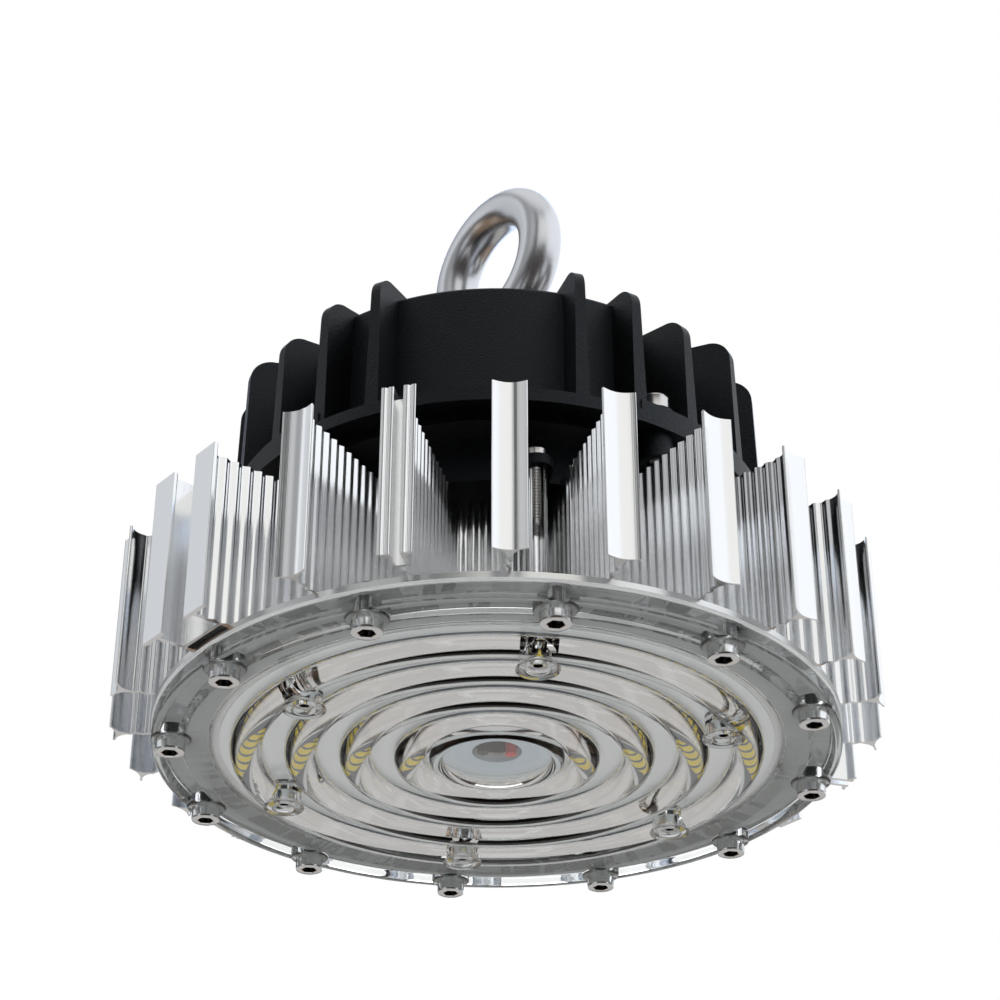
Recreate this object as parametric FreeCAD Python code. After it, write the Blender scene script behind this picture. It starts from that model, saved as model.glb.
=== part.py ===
"""LED high bay light: finned aluminium heat sink, clear ring lens, cast driver housing, lifting eye.

Millimetres, +Z up, origin on the lamp's axis at the lowest faces (the lens screw heads).
Azimuths are degrees from -Y, counted towards +X.
"""
import FreeCAD, Part
import math
import os
from FreeCAD import Vector

UP = Vector(0, 0, 1)
ORIGIN = Vector(0, 0, 0)

# socket head cap screws: shank diameter, head diameter, head height
M4 = (4.0, 7.0, 4.0)
M5 = (5.0, 8.5, 5.0)
M6 = (6.0, 10.0, 6.0)
THREAD_PLAY = 0.1        # radial room between a screw and the thread it turns in
HOLE_PLAY = 0.25         # radial room of a through hole
SEAT_PLAY = 0.3          # radial room around a sunk head or a located part

# lens
LENS_RADIUS = 116.6
LENS_FLANGE = 5.7        # thickness of the flange above its rim
LENS_WEB = 2.2           # sheet between the ring lenses
RIM_WIDTH = 2.8
VALLEY_WIDTH = 8.0       # trough that the screw bosses stand in
VALLEY_FLOOR = 2.7
BEAD_WIDTH = 3.0
STEP_WIDTH = 4.8         # from the bead in to the raised inner face over the board
WEB_DROP = 4.4           # from the web's lower face up to the flange's upper face
SCREW_EDGE = 6.6         # from the lens's edge to the screw circle
SCREW_COUNT = 12
SCREW_LENGTH = 12.0
BOSS_RADIUS = 7.0
BOSS_DEPTH = 0.2         # how far a boss stands below the flange's rim
CUP_INSET = 5.4          # from the outermost LED ring to the circle of cups
CUP_COUNT = 6
CUP_RADIUS = 5.9
CUP_LIP_RADIUS = 7.1
CUP_LIP = 1.2
CUP_SINK = 1.5           # how deep the screw head's face lies in its cup
CUP_SCREW_LENGTH = 20.0
DOME_WIDTH = 11.2
DOME_CREST = 5.0
DOME_HEIGHT = 4.2
EYE_RING_RADIUS = 22.0   # clear ring round the wire opening
EYE_RING_WIDTH = 2.6
EYE_RING_HEIGHT = 2.6

# light engine
LED_EDGE = 9.1           # from the board's edge to the outermost LED ring
LED_RING_STEP = 18.4
LED_RING_COUNT = 4
LED_WIDTH = 2.8
LED_HEIGHT = 0.7
BOARD_PLAY = 4.0         # from the board's edge to the lens's step
BOARD_THICKNESS = 1.6
WIRE_OPENING = 8.5
GASKET_THICKNESS = 0.8
PLATE_PROUD = 0.4        # how far the plate stands out past the lens
PLATE_THICKNESS = 2.0

# heat sink extrusion
FIN_COUNT = 24
FIN_TIP_RADIUS = 131.3
SINK_HEIGHT = 59.0
HUB_RADIUS = 58.0
HUB_WALL = 5.0
WEB_THICKNESS = 1.0
WAVE_PITCH = 4.5
WAVE_SWING = 0.5         # how far the web's middle swings to each side
CAP_WIDTH = 11.0
CAP_DISH = 1.6
CAP_LIP = 1.0
CAP_ROOT = 6.5           # from the cap's tips to where the web begins
CHANNEL_FINS = (-22.5, 97.5, 217.5)
CHANNEL_WIDTH = 3.0
CHANNEL_DEPTH = 7.5
CHANNEL_WALL = 1.3
SLOT_AZIMUTHS = (-60.0, 120.0)
SLOT_WIDTH = 19.2
SLOT_MOUTH = 12.8
SLOT_SINK = 0.9          # from the fins' tips in to the slot's face
SLOT_DEPTH = 10.6
SLOT_LIP = 1.6
SLOT_WALL = 1.2
PORT_WALL = 2.2
PORT_MOUTH = 3.0
PORT_STEM = 2.4

# adapter pan between heat sink and driver
PAN_INSET = 6.9          # from the circle of cups in to the pan's wall
PAN_FLOOR = 3.5
PAN_WALL = 4.0
PAN_HEIGHT = 16.6
PAN_SCREW_LENGTH = 25.0
LUG_RADIUS = 5.6
EAR_RADIUS = 5.6
EAR_HEIGHT = 9.0
EAR_ARM = 7.0
GROMMET_RADIUS = 10.0
GROMMET_LIP = 2.0
GROMMET_GROOVE = 1.5
WIRE_RADIUS = 1.9
WIRE_SPACING = 9.6
WIRE_PROUD = 0.7         # how far the wire ends stand below the board

# driver housing casting
DRIVER_TURN = -13.5
FLANGE_RADIUS = 95.4
FLANGE_THICK = 8.5
FLANGE_THIN = 4.7
FLANGE_THIN_HALF = 34.3
FLANGE_RIM = 3.5
FLANGE_RECESS = 2.2
HOUSING_SCREW_EDGE = 7.4 # from the flange's edge to its screw circle
HOUSING_SCREW_AZIMUTHS = (41.1, 138.9, 221.1, 318.9)
HOUSING_SCREW_LENGTH = 18.0
HOUSING_BOSS = 6.5
HOUSING_BOSS_RISE = 1.5  # how far a screw's boss stands over the flange
DRUM_SETBACK = 12.1      # from the flange's edge in to the drum's foot
DRUM_DRAFT = 1.8
DRUM_HEIGHT = 54.9       # from the flange's lower face
DRUM_WALL = 4.0
SIDE_SETBACK = 9.5       # how far the drum's sides stand back from its front and rear
ROOF_THICKNESS = 3.5
RIM_ROUND = 1.0
COVER_INSET = 5.0        # from the housing's screw circle in to the cover's edge
COVER_THICKNESS = 2.0
COVER_GASKET = 0.8
COVER_GASKET_WIDTH = 4.0
RIBS = ((21.5, 3.8), (34.3, 1.4), (48.0, -2.6), (65.7, 3.6), (83.0, 3.6))  # azimuth, rise over the rim
RIB_SETBACK = 0.4        # from the flange's edge in to a rib's foot
RIB_DRAFT = 0.8
RIB_ROUND = 9.0
RIB_LIFT = 1.2           # how much a rib's top rises from its shoulder in to the roof
RIB_THICK_TOP = 3.2
RIB_THICK_FOOT = 5.0
ROOF_WEBS = 8
ROOF_WEB_THICKNESS = 3.0
HUB_TOP = 78.7           # height of the eye bolt's boss over the flange's lower face
HUB_TOP_RADIUS = 20.0
HUB_FOOT_RADIUS = 24.0

# lifting eye
EYE_TURN = 30.0
EYE_SHANK = 16.0
EYE_SHANK_LENGTH = 47.0
EYE_ROD = 14.0
EYE_MEAN_RADIUS = 26.5
EYE_CENTRE = 42.4        # ring's centre above the collar's seat
COLLAR_RADIUS = 17.5
COLLAR_HEIGHT = 6.0
NECK_RADIUS = 9.0
NECK_HEIGHT = 15.0
WASHER_RADIUS = 17.0
WASHER_THICKNESS = 3.0
NUT_ACROSS = 24.0
NUT_HEIGHT = 13.0

# cable gland
GLAND_RADIUS_OUT = 50.0
GLAND_THREAD = 16.0
GLAND_ACROSS = 20.0
GLAND_FLANGE = 5.0
GLAND_BODY = 9.0
GLAND_BORE = 10.0
GLAND_CAP_HEIGHT = 12.0
GLAND_SEAL_BORE = 7.0
GLAND_SEAL_HEIGHT = 8.0
LOCKNUT_HEIGHT = 4.5

# driver circuit
PILLAR_RADIUS = 4.0
PILLAR_HEIGHT = 8.7
PILLAR_INSET = 9.0       # from the circuit board's edge in to the pillars' circle
CIRCUIT_PLAY = 1.0       # from the circuit board's edge to the drum's side wall
CIRCUIT_THICKNESS = 1.6
CORE_LENGTH = 36.0
CORE_WIDTH = 18.0
CORE_HEIGHT = 24.0
WINDING_RADIUS = 14.0
WINDING_HEIGHT = 15.0
TRANSFORMER_INSET = 27.0
CAPACITOR_RADIUS = 8.0
CAPACITOR_HEIGHT = 22.0
CAPACITOR_INSET = 17.0
CAPACITOR_AZIMUTHS = (60.0, 85.0, 110.0)
CHOKE_RADIUS = 11.0
CHOKE_BORE = 4.5
CHOKE_HEIGHT = 9.0
CHOKE_INSET = 22.0
CHOKE_AZIMUTH = 215.0
SPREADER_LENGTH = 44.0
SPREADER_THICKNESS = 3.0
SPREADER_HEIGHT = 20.0
SPREADER_INSET = 18.0
TRANSISTOR = (10.0, 4.5, 15.0)
TRANSISTOR_SPACING = 20.0

# radii that follow from the lens, the fins and the flange
SCREW_CIRCLE = LENS_RADIUS - SCREW_EDGE
LENS_RECESS = LENS_RADIUS - RIM_WIDTH - VALLEY_WIDTH - BEAD_WIDTH - STEP_WIDTH
BOARD_RADIUS = LENS_RECESS - BOARD_PLAY
LED_RING_OUTER = BOARD_RADIUS - LED_EDGE
CUP_CIRCLE = LED_RING_OUTER - CUP_INSET
PLATE_RADIUS = LENS_RADIUS + PLATE_PROUD
SLOT_FACE = FIN_TIP_RADIUS - SLOT_SINK
SLOT_BACK = SLOT_FACE - SLOT_DEPTH
PAN_RADIUS = CUP_CIRCLE - PAN_INSET
HOUSING_CIRCLE = FLANGE_RADIUS - HOUSING_SCREW_EDGE
COVER_RADIUS = HOUSING_CIRCLE - COVER_INSET
DRUM_FOOT = FLANGE_RADIUS - DRUM_SETBACK
DRUM_RIM = DRUM_FOOT - DRUM_DRAFT
SIDE_RIM = DRUM_RIM - SIDE_SETBACK
RIB_FOOT = FLANGE_RADIUS - RIB_SETBACK
RIB_SHOULDER = RIB_FOOT - RIB_DRAFT
RIB_END = SIDE_RIM - DRUM_WALL / 2
CIRCUIT_RADIUS = SIDE_RIM - DRUM_WALL - CIRCUIT_PLAY
PILLAR_CIRCLE = CIRCUIT_RADIUS - PILLAR_INSET
TRANSFORMER_OFFSET = CIRCUIT_RADIUS - TRANSFORMER_INSET
CAPACITOR_CIRCLE = CIRCUIT_RADIUS - CAPACITOR_INSET
CHOKE_CIRCLE = CIRCUIT_RADIUS - CHOKE_INSET
SPREADER_OFFSET = CIRCUIT_RADIUS - SPREADER_INSET

# heights that follow from the stack, from the lowest screw head up
SEAT_Z = M5[2]
LENS_TOP = SEAT_Z + BOSS_DEPTH + LENS_FLANGE
PLATE_Z = LENS_TOP + GASKET_THICKNESS
SINK_Z = PLATE_Z + PLATE_THICKNESS
PAN_Z = SINK_Z + SINK_HEIGHT
BOARD_Z = PLATE_Z - BOARD_THICKNESS
WEB_Z = LENS_TOP - WEB_DROP
DRIVER_Z = PAN_Z + PAN_HEIGHT
COVER_TOP = DRIVER_Z + COVER_THICKNESS
DRUM_INSIDE_Z = COVER_TOP + COVER_GASKET
RIM_Z = DRIVER_Z + DRUM_HEIGHT
CEILING_Z = RIM_Z - ROOF_THICKNESS
HUB_Z = DRIVER_Z + HUB_TOP
EYE_SEAT_Z = HUB_Z + WASHER_THICKNESS
HOUSING_SEAT_Z = DRIVER_Z + FLANGE_THICK + HOUSING_BOSS_RISE
CIRCUIT_Z = COVER_TOP + PILLAR_HEIGHT
CIRCUIT_TOP = CIRCUIT_Z + CIRCUIT_THICKNESS


def polar(radius, azimuth, z=0.0):
    a = math.radians(azimuth)
    return Vector(radius * math.sin(a), -radius * math.cos(a), z)


def around(count, start=0.0):
    return [start + 360.0 * k / count for k in range(count)]


def turned(shape, azimuth):
    copy = shape.copy()
    copy.rotate(ORIGIN, UP, azimuth)
    return copy


def rod(radius, z0, z1, at=ORIGIN):
    return Part.makeCylinder(radius, z1 - z0, Vector(at.x, at.y, z0))


def tube(outer, inner, z0, z1, at=ORIGIN):
    return rod(outer, z0, z1, at).cut(rod(inner, z0, z1, at))


def block(x, y, height, z, at=ORIGIN):
    """A box standing at height z, centred on a point."""
    return Part.makeBox(x, y, height, Vector(at.x - x / 2, at.y - y / 2, z))


def hexagon(across, z0, z1, at=ORIGIN):
    corner = across / math.sqrt(3)
    points = [Vector(at.x, at.y, z0) + polar(corner, 60.0 * k) for k in range(7)]
    return Part.Face(Part.makePolygon(points)).extrude(Vector(0, 0, z1 - z0))


def revolved(outline):
    """A solid of revolution from (radius, height) corners."""
    points = [Vector(r, 0, z) for r, z in outline]
    return Part.Face(Part.makePolygon(points + points[:1])).revolve(ORIGIN, UP, 360)


def ribbon(outline, thickness):
    """A plate of the given thickness in the plane of azimuth 0, from (radius, height) corners or edges."""
    face = Part.Face(outline)
    plate = face.extrude(Vector(thickness, 0, 0))
    plate.translate(Vector(-thickness / 2, 0, 0))
    return plate


def cap_screw(size, length, seat_z, at, head_down):
    """A cap screw whose head seats at seat_z, with its head below or above that face."""
    shank, head, height = size
    way = -1 if head_down else 1
    low, high = sorted((seat_z, seat_z + way * height))
    end = seat_z - way * length
    shaft = rod(shank / 2, min(seat_z, end), max(seat_z, end), at)
    return rod(head / 2, low, high, at).fuse(shaft).removeSplitter()


def screws(size, length, seat_z, places, head_down):
    return Part.makeCompound([cap_screw(size, length, seat_z, at, head_down) for at in places])


def holes(radius, z0, z1, places):
    return [rod(radius, z0, z1, at) for at in places]


def screw_places():
    return [polar(SCREW_CIRCLE, a) for a in around(SCREW_COUNT)]


def cup_places():
    return [polar(CUP_CIRCLE, a) for a in around(CUP_COUNT)]


def housing_places():
    return [polar(HOUSING_CIRCLE, DRIVER_TURN + a) for a in HOUSING_SCREW_AZIMUTHS]


def led_radii():
    """Radii of the LED rings, from the innermost out."""
    return [LED_RING_OUTER - LED_RING_STEP * k for k in reversed(range(LED_RING_COUNT))]


# ---- lens and light engine ----

def lens():
    """Moulded clear lens: flange with a trough for the bosses, flat web, a ring lens over each LED ring."""
    rim_in = LENS_RADIUS - RIM_WIDTH
    valley_in = rim_in - VALLEY_WIDTH
    bead_in = valley_in - BEAD_WIDTH
    step_in = LENS_RECESS - LENS_WEB
    flank = (DOME_WIDTH - DOME_CREST) / 2
    outline = [
        (0, WEB_Z + LENS_WEB), (LENS_RECESS, WEB_Z + LENS_WEB), (LENS_RECESS, LENS_TOP),
        (LENS_RADIUS, LENS_TOP), (LENS_RADIUS, LENS_TOP - LENS_FLANGE), (rim_in, LENS_TOP - LENS_FLANGE),
        (rim_in - 1, LENS_TOP - VALLEY_FLOOR), (valley_in + 1, LENS_TOP - VALLEY_FLOOR),
        (valley_in, LENS_TOP - LENS_FLANGE), (bead_in, LENS_TOP - LENS_FLANGE), (step_in, WEB_Z),
    ]
    for radius in reversed(led_radii()):
        outline += [
            (radius + DOME_WIDTH / 2, WEB_Z), (radius + DOME_WIDTH / 2 - flank, WEB_Z - DOME_HEIGHT),
            (radius - DOME_WIDTH / 2 + flank, WEB_Z - DOME_HEIGHT), (radius - DOME_WIDTH / 2, WEB_Z),
        ]
    eye_in, eye_z = EYE_RING_RADIUS - EYE_RING_WIDTH, WEB_Z - EYE_RING_HEIGHT
    outline += [(EYE_RING_RADIUS, WEB_Z), (EYE_RING_RADIUS, eye_z)]
    outline += [(eye_in, eye_z), (eye_in, WEB_Z), (0, WEB_Z)]
    limit = rod(LENS_RADIUS, SEAT_Z, LENS_TOP)
    bosses = [rod(BOSS_RADIUS, SEAT_Z, LENS_TOP, at).common(limit) for at in screw_places()]
    cups = [rod(CUP_RADIUS, 0, BOARD_Z, at).fuse(rod(CUP_LIP_RADIUS, 0, CUP_LIP, at)) for at in cup_places()]
    body = revolved(outline).multiFuse(bosses + cups)
    cuts = holes(M5[0] / 2 + HOLE_PLAY, 0, LENS_TOP, screw_places())
    cuts += holes(M4[0] / 2 + HOLE_PLAY, 0, BOARD_Z, cup_places())
    cuts += holes(M4[1] / 2 + SEAT_PLAY, 0, CUP_SINK + M4[2], cup_places())
    return body.cut(cuts)


def lens_gasket():
    ring = tube(LENS_RADIUS, LENS_RECESS, LENS_TOP, PLATE_Z)
    return ring.cut(holes(M5[0] / 2 + HOLE_PLAY, LENS_TOP, PLATE_Z, screw_places()))


def led_board():
    disc = tube(BOARD_RADIUS, WIRE_OPENING, BOARD_Z, PLATE_Z)
    return disc.cut(holes(M4[0] / 2 + HOLE_PLAY, BOARD_Z, PLATE_Z, cup_places()))


def led_ring(radius):
    """One circle of LED packages, as the band that they fill, broken where a lens cup reaches the board."""
    band = tube(radius + LED_WIDTH / 2, radius - LED_WIDTH / 2, BOARD_Z - LED_HEIGHT, BOARD_Z)
    return band.cut(holes(CUP_RADIUS + SEAT_PLAY, BOARD_Z - LED_HEIGHT, BOARD_Z, cup_places()))


def base_plate():
    disc = tube(PLATE_RADIUS, WIRE_OPENING, PLATE_Z, SINK_Z)
    cuts = holes(M5[0] / 2 + THREAD_PLAY, PLATE_Z, SINK_Z, screw_places())
    cuts += holes(M4[0] / 2 + HOLE_PLAY, PLATE_Z, SINK_Z, cup_places())
    return disc.cut(cuts)


# ---- heat sink ----

def wave(side, start, end):
    """Corners of one side of a web along azimuth 0, from radius start out to end, as (x, radius)."""
    steps = 2 * round((end - start) / WAVE_PITCH)
    points = []
    for k in range(steps + 1):
        swing = WAVE_SWING if k % 2 else -WAVE_SWING
        points.append((side * WEB_THICKNESS / 2 + swing, start + (end - start) * k / steps))
    return points


def cap_half():
    """Right half of a plain fin's dished cap, from the web's end to the middle of the outer face."""
    tip = FIN_TIP_RADIUS
    half = CAP_WIDTH / 2
    flare = (half * 0.45, tip - CAP_ROOT * 0.45)
    return [flare, (half, tip - CAP_LIP), (half, tip), (half * 0.5, tip - CAP_DISH * 0.8)]


def channel_half():
    """Right half of a screw channel fin's cap: the groove's wall, its notched lip and the groove itself."""
    tip = FIN_TIP_RADIUS
    half = CAP_WIDTH / 2
    wall = CHANNEL_WIDTH / 2 + CHANNEL_WALL
    floor = tip - CHANNEL_DEPTH
    groove = CHANNEL_WIDTH / 2
    return [
        (wall, floor - CHANNEL_WALL), (wall, tip - 2 * CAP_LIP), (half, tip - CAP_LIP), (half, tip),
        ((half + groove) / 2, tip - CAP_LIP / 2), (groove, tip), (groove, floor),
    ]


def fin(half_cap, root):
    """A whole fin along azimuth 0 as (x, radius) corners, up its left side and down its right."""
    left = wave(-1, HUB_RADIUS, root)
    right = wave(1, HUB_RADIUS, root)
    mirrored = [(-x, r) for x, r in half_cap]
    return left + mirrored + half_cap[::-1] + right[::-1]


def slot():
    """The side slot along azimuth 0: two webs parallel to it, flat lips and a back wall between them."""
    inner = SLOT_WIDTH / 2
    middle = inner + SLOT_WALL / 2 + WAVE_SWING
    lip_in = SLOT_MOUTH / 2
    lip_out = lip_in + CAP_WIDTH
    foot = math.sqrt(HUB_RADIUS ** 2 - (middle + WEB_THICKNESS) ** 2)
    outside = [(x + middle, r) for x, r in wave(1, foot, SLOT_FACE - SLOT_LIP)]
    lip_back = SLOT_FACE - SLOT_LIP
    half = outside + [
        (lip_out, lip_back), (lip_out, SLOT_FACE), (lip_in, SLOT_FACE), (lip_in, lip_back),
        (inner, lip_back), (inner, SLOT_BACK),
    ]
    return [(-x, r) for x, r in half] + half[::-1]


def port():
    """A screw port on its stem along azimuth 0, as (x, radius) corners: a C that opens outwards."""
    centre = CUP_CIRCLE
    bore = M4[0] / 2 + THREAD_PLAY
    outer = bore + PORT_WALL
    foot = math.sqrt(HUB_RADIUS ** 2 - (PORT_STEM / 2) ** 2)

    def bow(radius, first, last, steps):
        turn = [math.radians(first + (last - first) * k / steps) for k in range(steps + 1)]
        return [(radius * math.sin(a), centre + radius * math.cos(a)) for a in turn]

    stem = math.degrees(math.asin(PORT_STEM / 2 / outer))
    mouth_out = math.degrees(math.asin(PORT_MOUTH / 2 / outer))
    mouth_in = math.degrees(math.asin(PORT_MOUTH / 2 / bore))
    left = [(-PORT_STEM / 2, foot)] + bow(outer, -180 + stem, -mouth_out, 5)
    bore_way = bow(bore, -mouth_in, mouth_in - 360, 10)
    right = [(-x, r) for x, r in left]
    return left + bore_way + right[::-1]


def placed(points, azimuth):
    return [turned_point(x, r, azimuth) for x, r in points]


def turned_point(x, radius, azimuth):
    a = math.radians(azimuth)
    return Vector(x * math.cos(a) + radius * math.sin(a), x * math.sin(a) - radius * math.cos(a), SINK_Z)


def sink_stations():
    """What stands on the hub, in order round it: (azimuth, corners)."""
    pitch = 360.0 / FIN_COUNT
    taken = [(s + side * pitch / 2) % 360 for s in SLOT_AZIMUTHS for side in (-1, 1)]
    channels = [c % 360 for c in CHANNEL_FINS]
    stations = [(s % 360, slot()) for s in SLOT_AZIMUTHS]
    for azimuth in around(FIN_COUNT, pitch / 2):
        if azimuth in taken:
            continue
        if azimuth in channels:
            stations.append((azimuth, fin(channel_half(), FIN_TIP_RADIUS - CHANNEL_DEPTH - CHANNEL_WALL)))
        else:
            stations.append((azimuth, fin(cap_half(), FIN_TIP_RADIUS - CAP_ROOT)))
    stations += [(a, port()) for a in around(CUP_COUNT) if a not in [s % 360 for s in SLOT_AZIMUTHS]]
    return sorted(stations, key=lambda station: station[0])


def slot_chamber():
    """The closed space behind a side slot, as (x, radius) corners, with a screw port standing in it."""
    inner = SLOT_WIDTH / 2
    foot = math.sqrt(HUB_RADIUS ** 2 - inner ** 2)
    back = SLOT_BACK - SLOT_WALL
    return [(-inner, foot)] + port() + [(inner, foot), (inner, back), (-inner, back)]


def heat_sink():
    """Extruded radial heat sink: hub, corrugated fins with dished caps, screw channels and side slots."""
    corners = []
    for azimuth, points in sink_stations():
        corners += placed(points, azimuth)
    outline = Part.makePolygon(corners + corners[:1])
    chamber = slot_chamber()
    chambers = [Part.makePolygon(placed(chamber + chamber[:1], azimuth)) for azimuth in SLOT_AZIMUTHS]
    bore = Part.Wire(Part.makeCircle(HUB_RADIUS - HUB_WALL, Vector(0, 0, SINK_Z), UP))
    section = Part.Face([outline, bore] + chambers)
    return section.extrude(Vector(0, 0, SINK_HEIGHT))


# ---- adapter pan and wiring ----

def pan_lug_places():
    return [polar(CUP_CIRCLE, a) for a in around(3)]


def adapter_pan():
    """Cast pan that stands on the heat sink: lugs for its own screws, ears for the housing's screws."""
    shell = rod(PAN_RADIUS, PAN_Z, DRIVER_Z).cut(rod(PAN_RADIUS - PAN_WALL, PAN_Z + PAN_FLOOR, DRIVER_Z))
    added = []
    for azimuth in around(3):
        reach = CUP_CIRCLE
        arm = Part.makeBox(2 * LUG_RADIUS, reach - PAN_RADIUS + PAN_WALL, PAN_FLOOR,
                           Vector(-LUG_RADIUS, -reach, PAN_Z))
        added += [turned(arm, azimuth), rod(LUG_RADIUS, PAN_Z, PAN_Z + PAN_FLOOR, polar(reach, azimuth))]
    for azimuth in HOUSING_SCREW_AZIMUTHS:
        reach = HOUSING_CIRCLE
        arm = Part.makeBox(EAR_ARM, reach - PAN_RADIUS + PAN_WALL, EAR_HEIGHT - 1,
                           Vector(-EAR_ARM / 2, -reach, DRIVER_Z - EAR_HEIGHT + 1))
        ear = rod(EAR_RADIUS, DRIVER_Z - EAR_HEIGHT, DRIVER_Z, polar(reach, DRIVER_TURN + azimuth))
        added += [turned(arm, DRIVER_TURN + azimuth), ear]
    cuts = holes(M4[0] / 2 + HOLE_PLAY, PAN_Z, PAN_Z + PAN_FLOOR, pan_lug_places())
    cuts += holes(M6[0] / 2 + THREAD_PLAY, DRIVER_Z - EAR_HEIGHT, DRIVER_Z, housing_places())
    cuts.append(rod(GROMMET_RADIUS, PAN_Z, DRIVER_Z))
    return shell.multiFuse(added).cut(cuts).removeSplitter()


def wire_places():
    return [Vector(side * WIRE_SPACING / 2, 0, 0) for side in (-1, 1)]


def wire_grommet():
    """Rubber grommet with a groove for the pan's floor and a hole for each wire."""
    low, high = PAN_Z - GROMMET_GROOVE, PAN_Z + PAN_FLOOR + GROMMET_GROOVE
    lip = GROMMET_RADIUS + GROMMET_LIP
    plug = rod(GROMMET_RADIUS, low, high).multiFuse([rod(lip, low, PAN_Z), rod(lip, PAN_Z + PAN_FLOOR, high)])
    return plug.cut(holes(WIRE_RADIUS, low, high, wire_places()))


def wire(at):
    """Supply wire from the LED board up the sink's bore to the driver's circuit board."""
    return rod(WIRE_RADIUS, BOARD_Z - WIRE_PROUD, CIRCUIT_Z, at)


# ---- driver housing ----

def rib(rise):
    """One cooling rib: drafted outer edge, round shoulder, and a top that runs in over the roof's edge."""
    top = RIM_Z + rise
    foot_z = DRIVER_Z + FLANGE_THIN / 2
    shoulder = Vector(0, -RIB_SHOULDER, top - RIB_ROUND)
    bend = Vector(0, -RIB_SHOULDER + RIB_ROUND * 0.29, top - RIB_ROUND * 0.29)
    crown = Vector(0, -RIB_SHOULDER + RIB_ROUND, top)
    end = Vector(0, -RIB_END, top + RIB_LIFT)
    foot_in, foot_out = Vector(0, -RIB_END, foot_z), Vector(0, -RIB_FOOT, foot_z)
    edges = [
        Part.makeLine(foot_out, shoulder), Part.Arc(shoulder, bend, crown).toShape(),
        Part.makeLine(crown, end), Part.makeLine(end, foot_in), Part.makeLine(foot_in, foot_out),
    ]
    plate = ribbon(Part.Wire(edges), RIB_THICK_FOOT)
    wide, narrow = RIB_THICK_FOOT / 2, RIB_THICK_TOP / 2
    high = top + RIB_LIFT
    taper = [Vector(x, 0, z) for x, z in ((-wide, foot_z), (wide, foot_z), (narrow, high), (-narrow, high))]
    wedge = Part.Face(Part.makePolygon(taper + taper[:1])).extrude(Vector(0, -FLANGE_RADIUS, 0))
    return plate.common(wedge)


def ribs():
    """Both sides and both ends alike, with a plain stretch of drum at the front and the rear."""
    made = []
    for azimuth, rise in RIBS:
        one = rib(rise)
        made += [turned(one, DRIVER_TURN + end + side * azimuth) for end in (0, 180) for side in (-1, 1)]
    return made


def end_sectors(low, high):
    """Pie slices over the plain front and rear of the drum, between two heights."""
    half = math.radians(FLANGE_THIN_HALF)
    far = FLANGE_RADIUS / math.cos(half) + 1
    corners = [Vector(0, 0, low), Vector(-far * math.sin(half), -far * math.cos(half), low),
               Vector(far * math.sin(half), -far * math.cos(half), low)]
    wedge = Part.Face(Part.makePolygon(corners + corners[:1])).extrude(Vector(0, 0, high - low))
    return [turned(wedge, DRIVER_TURN), turned(wedge, DRIVER_TURN + 180)]


def flange():
    disc = rod(FLANGE_RADIUS, DRIVER_Z, DRIVER_Z + FLANGE_THICK)
    disc = disc.cut(end_sectors(DRIVER_Z + FLANGE_THIN, DRIVER_Z + FLANGE_THICK))
    inside = COVER_RADIUS + FLANGE_RIM / 2
    groove = tube(FLANGE_RADIUS - FLANGE_RIM, inside, DRIVER_Z, DRIVER_Z + FLANGE_RECESS)
    bosses = [rod(HOUSING_BOSS, DRIVER_Z, HOUSING_SEAT_Z, at) for at in housing_places()]
    bosses = [b.common(rod(FLANGE_RADIUS, DRIVER_Z, RIM_Z)) for b in bosses]
    return disc.cut(groove).multiFuse(bosses)


def rimmed(foot, rim):
    """A drafted drum with a rounded rim and a flat roof."""
    return revolved([
        (0, DRIVER_Z), (foot, DRIVER_Z), (rim, RIM_Z - RIM_ROUND),
        (rim - RIM_ROUND * 0.3, RIM_Z - RIM_ROUND * 0.3), (rim - RIM_ROUND, RIM_Z), (0, RIM_Z),
    ])


def drum():
    """The drum, full at its front and rear and set back at its sides, with the lifting eye's boss on top."""
    ends = [rimmed(DRUM_FOOT, DRUM_RIM).common(sector) for sector in end_sectors(DRIVER_Z, RIM_Z)]
    boss = Part.makeCone(HUB_FOOT_RADIUS, HUB_TOP_RADIUS, HUB_Z - RIM_Z, Vector(0, 0, RIM_Z))
    return rimmed(DRUM_FOOT - SIDE_SETBACK, SIDE_RIM).multiFuse(ends + [boss])


def cavity():
    """Room inside the drum, one wall's thickness in from its outside."""
    ends = rod(DRUM_RIM - DRUM_WALL, DRUM_INSIDE_Z, CEILING_Z)
    edge = DRUM_WALL / math.sin(math.radians(FLANGE_THIN_HALF))
    slices = end_sectors(DRUM_INSIDE_Z, CEILING_Z)
    for piece, azimuth in zip(slices, (DRIVER_TURN, DRIVER_TURN + 180)):
        piece.translate(polar(edge, azimuth))
    side = rod(SIDE_RIM - DRUM_WALL, DRUM_INSIDE_Z, CEILING_Z)
    return side.multiFuse([ends.common(piece) for piece in slices])


def roof_webs():
    """Cast webs from the eye's boss down to the drum's rim."""
    top = HUB_Z - ROOF_THICKNESS
    corners = [Vector(0, 0, CEILING_Z), Vector(0, -RIB_END, CEILING_Z), Vector(0, -RIB_END, RIM_Z),
               Vector(0, -HUB_TOP_RADIUS, top), Vector(0, 0, top)]
    web = ribbon(Part.makePolygon(corners + corners[:1]), ROOF_WEB_THICKNESS)
    return [turned(web, a) for a in around(ROOF_WEBS, DRIVER_TURN + 180.0 / ROOF_WEBS)]


def gland_place():
    return polar(GLAND_RADIUS_OUT, DRIVER_TURN + 180)


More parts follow.
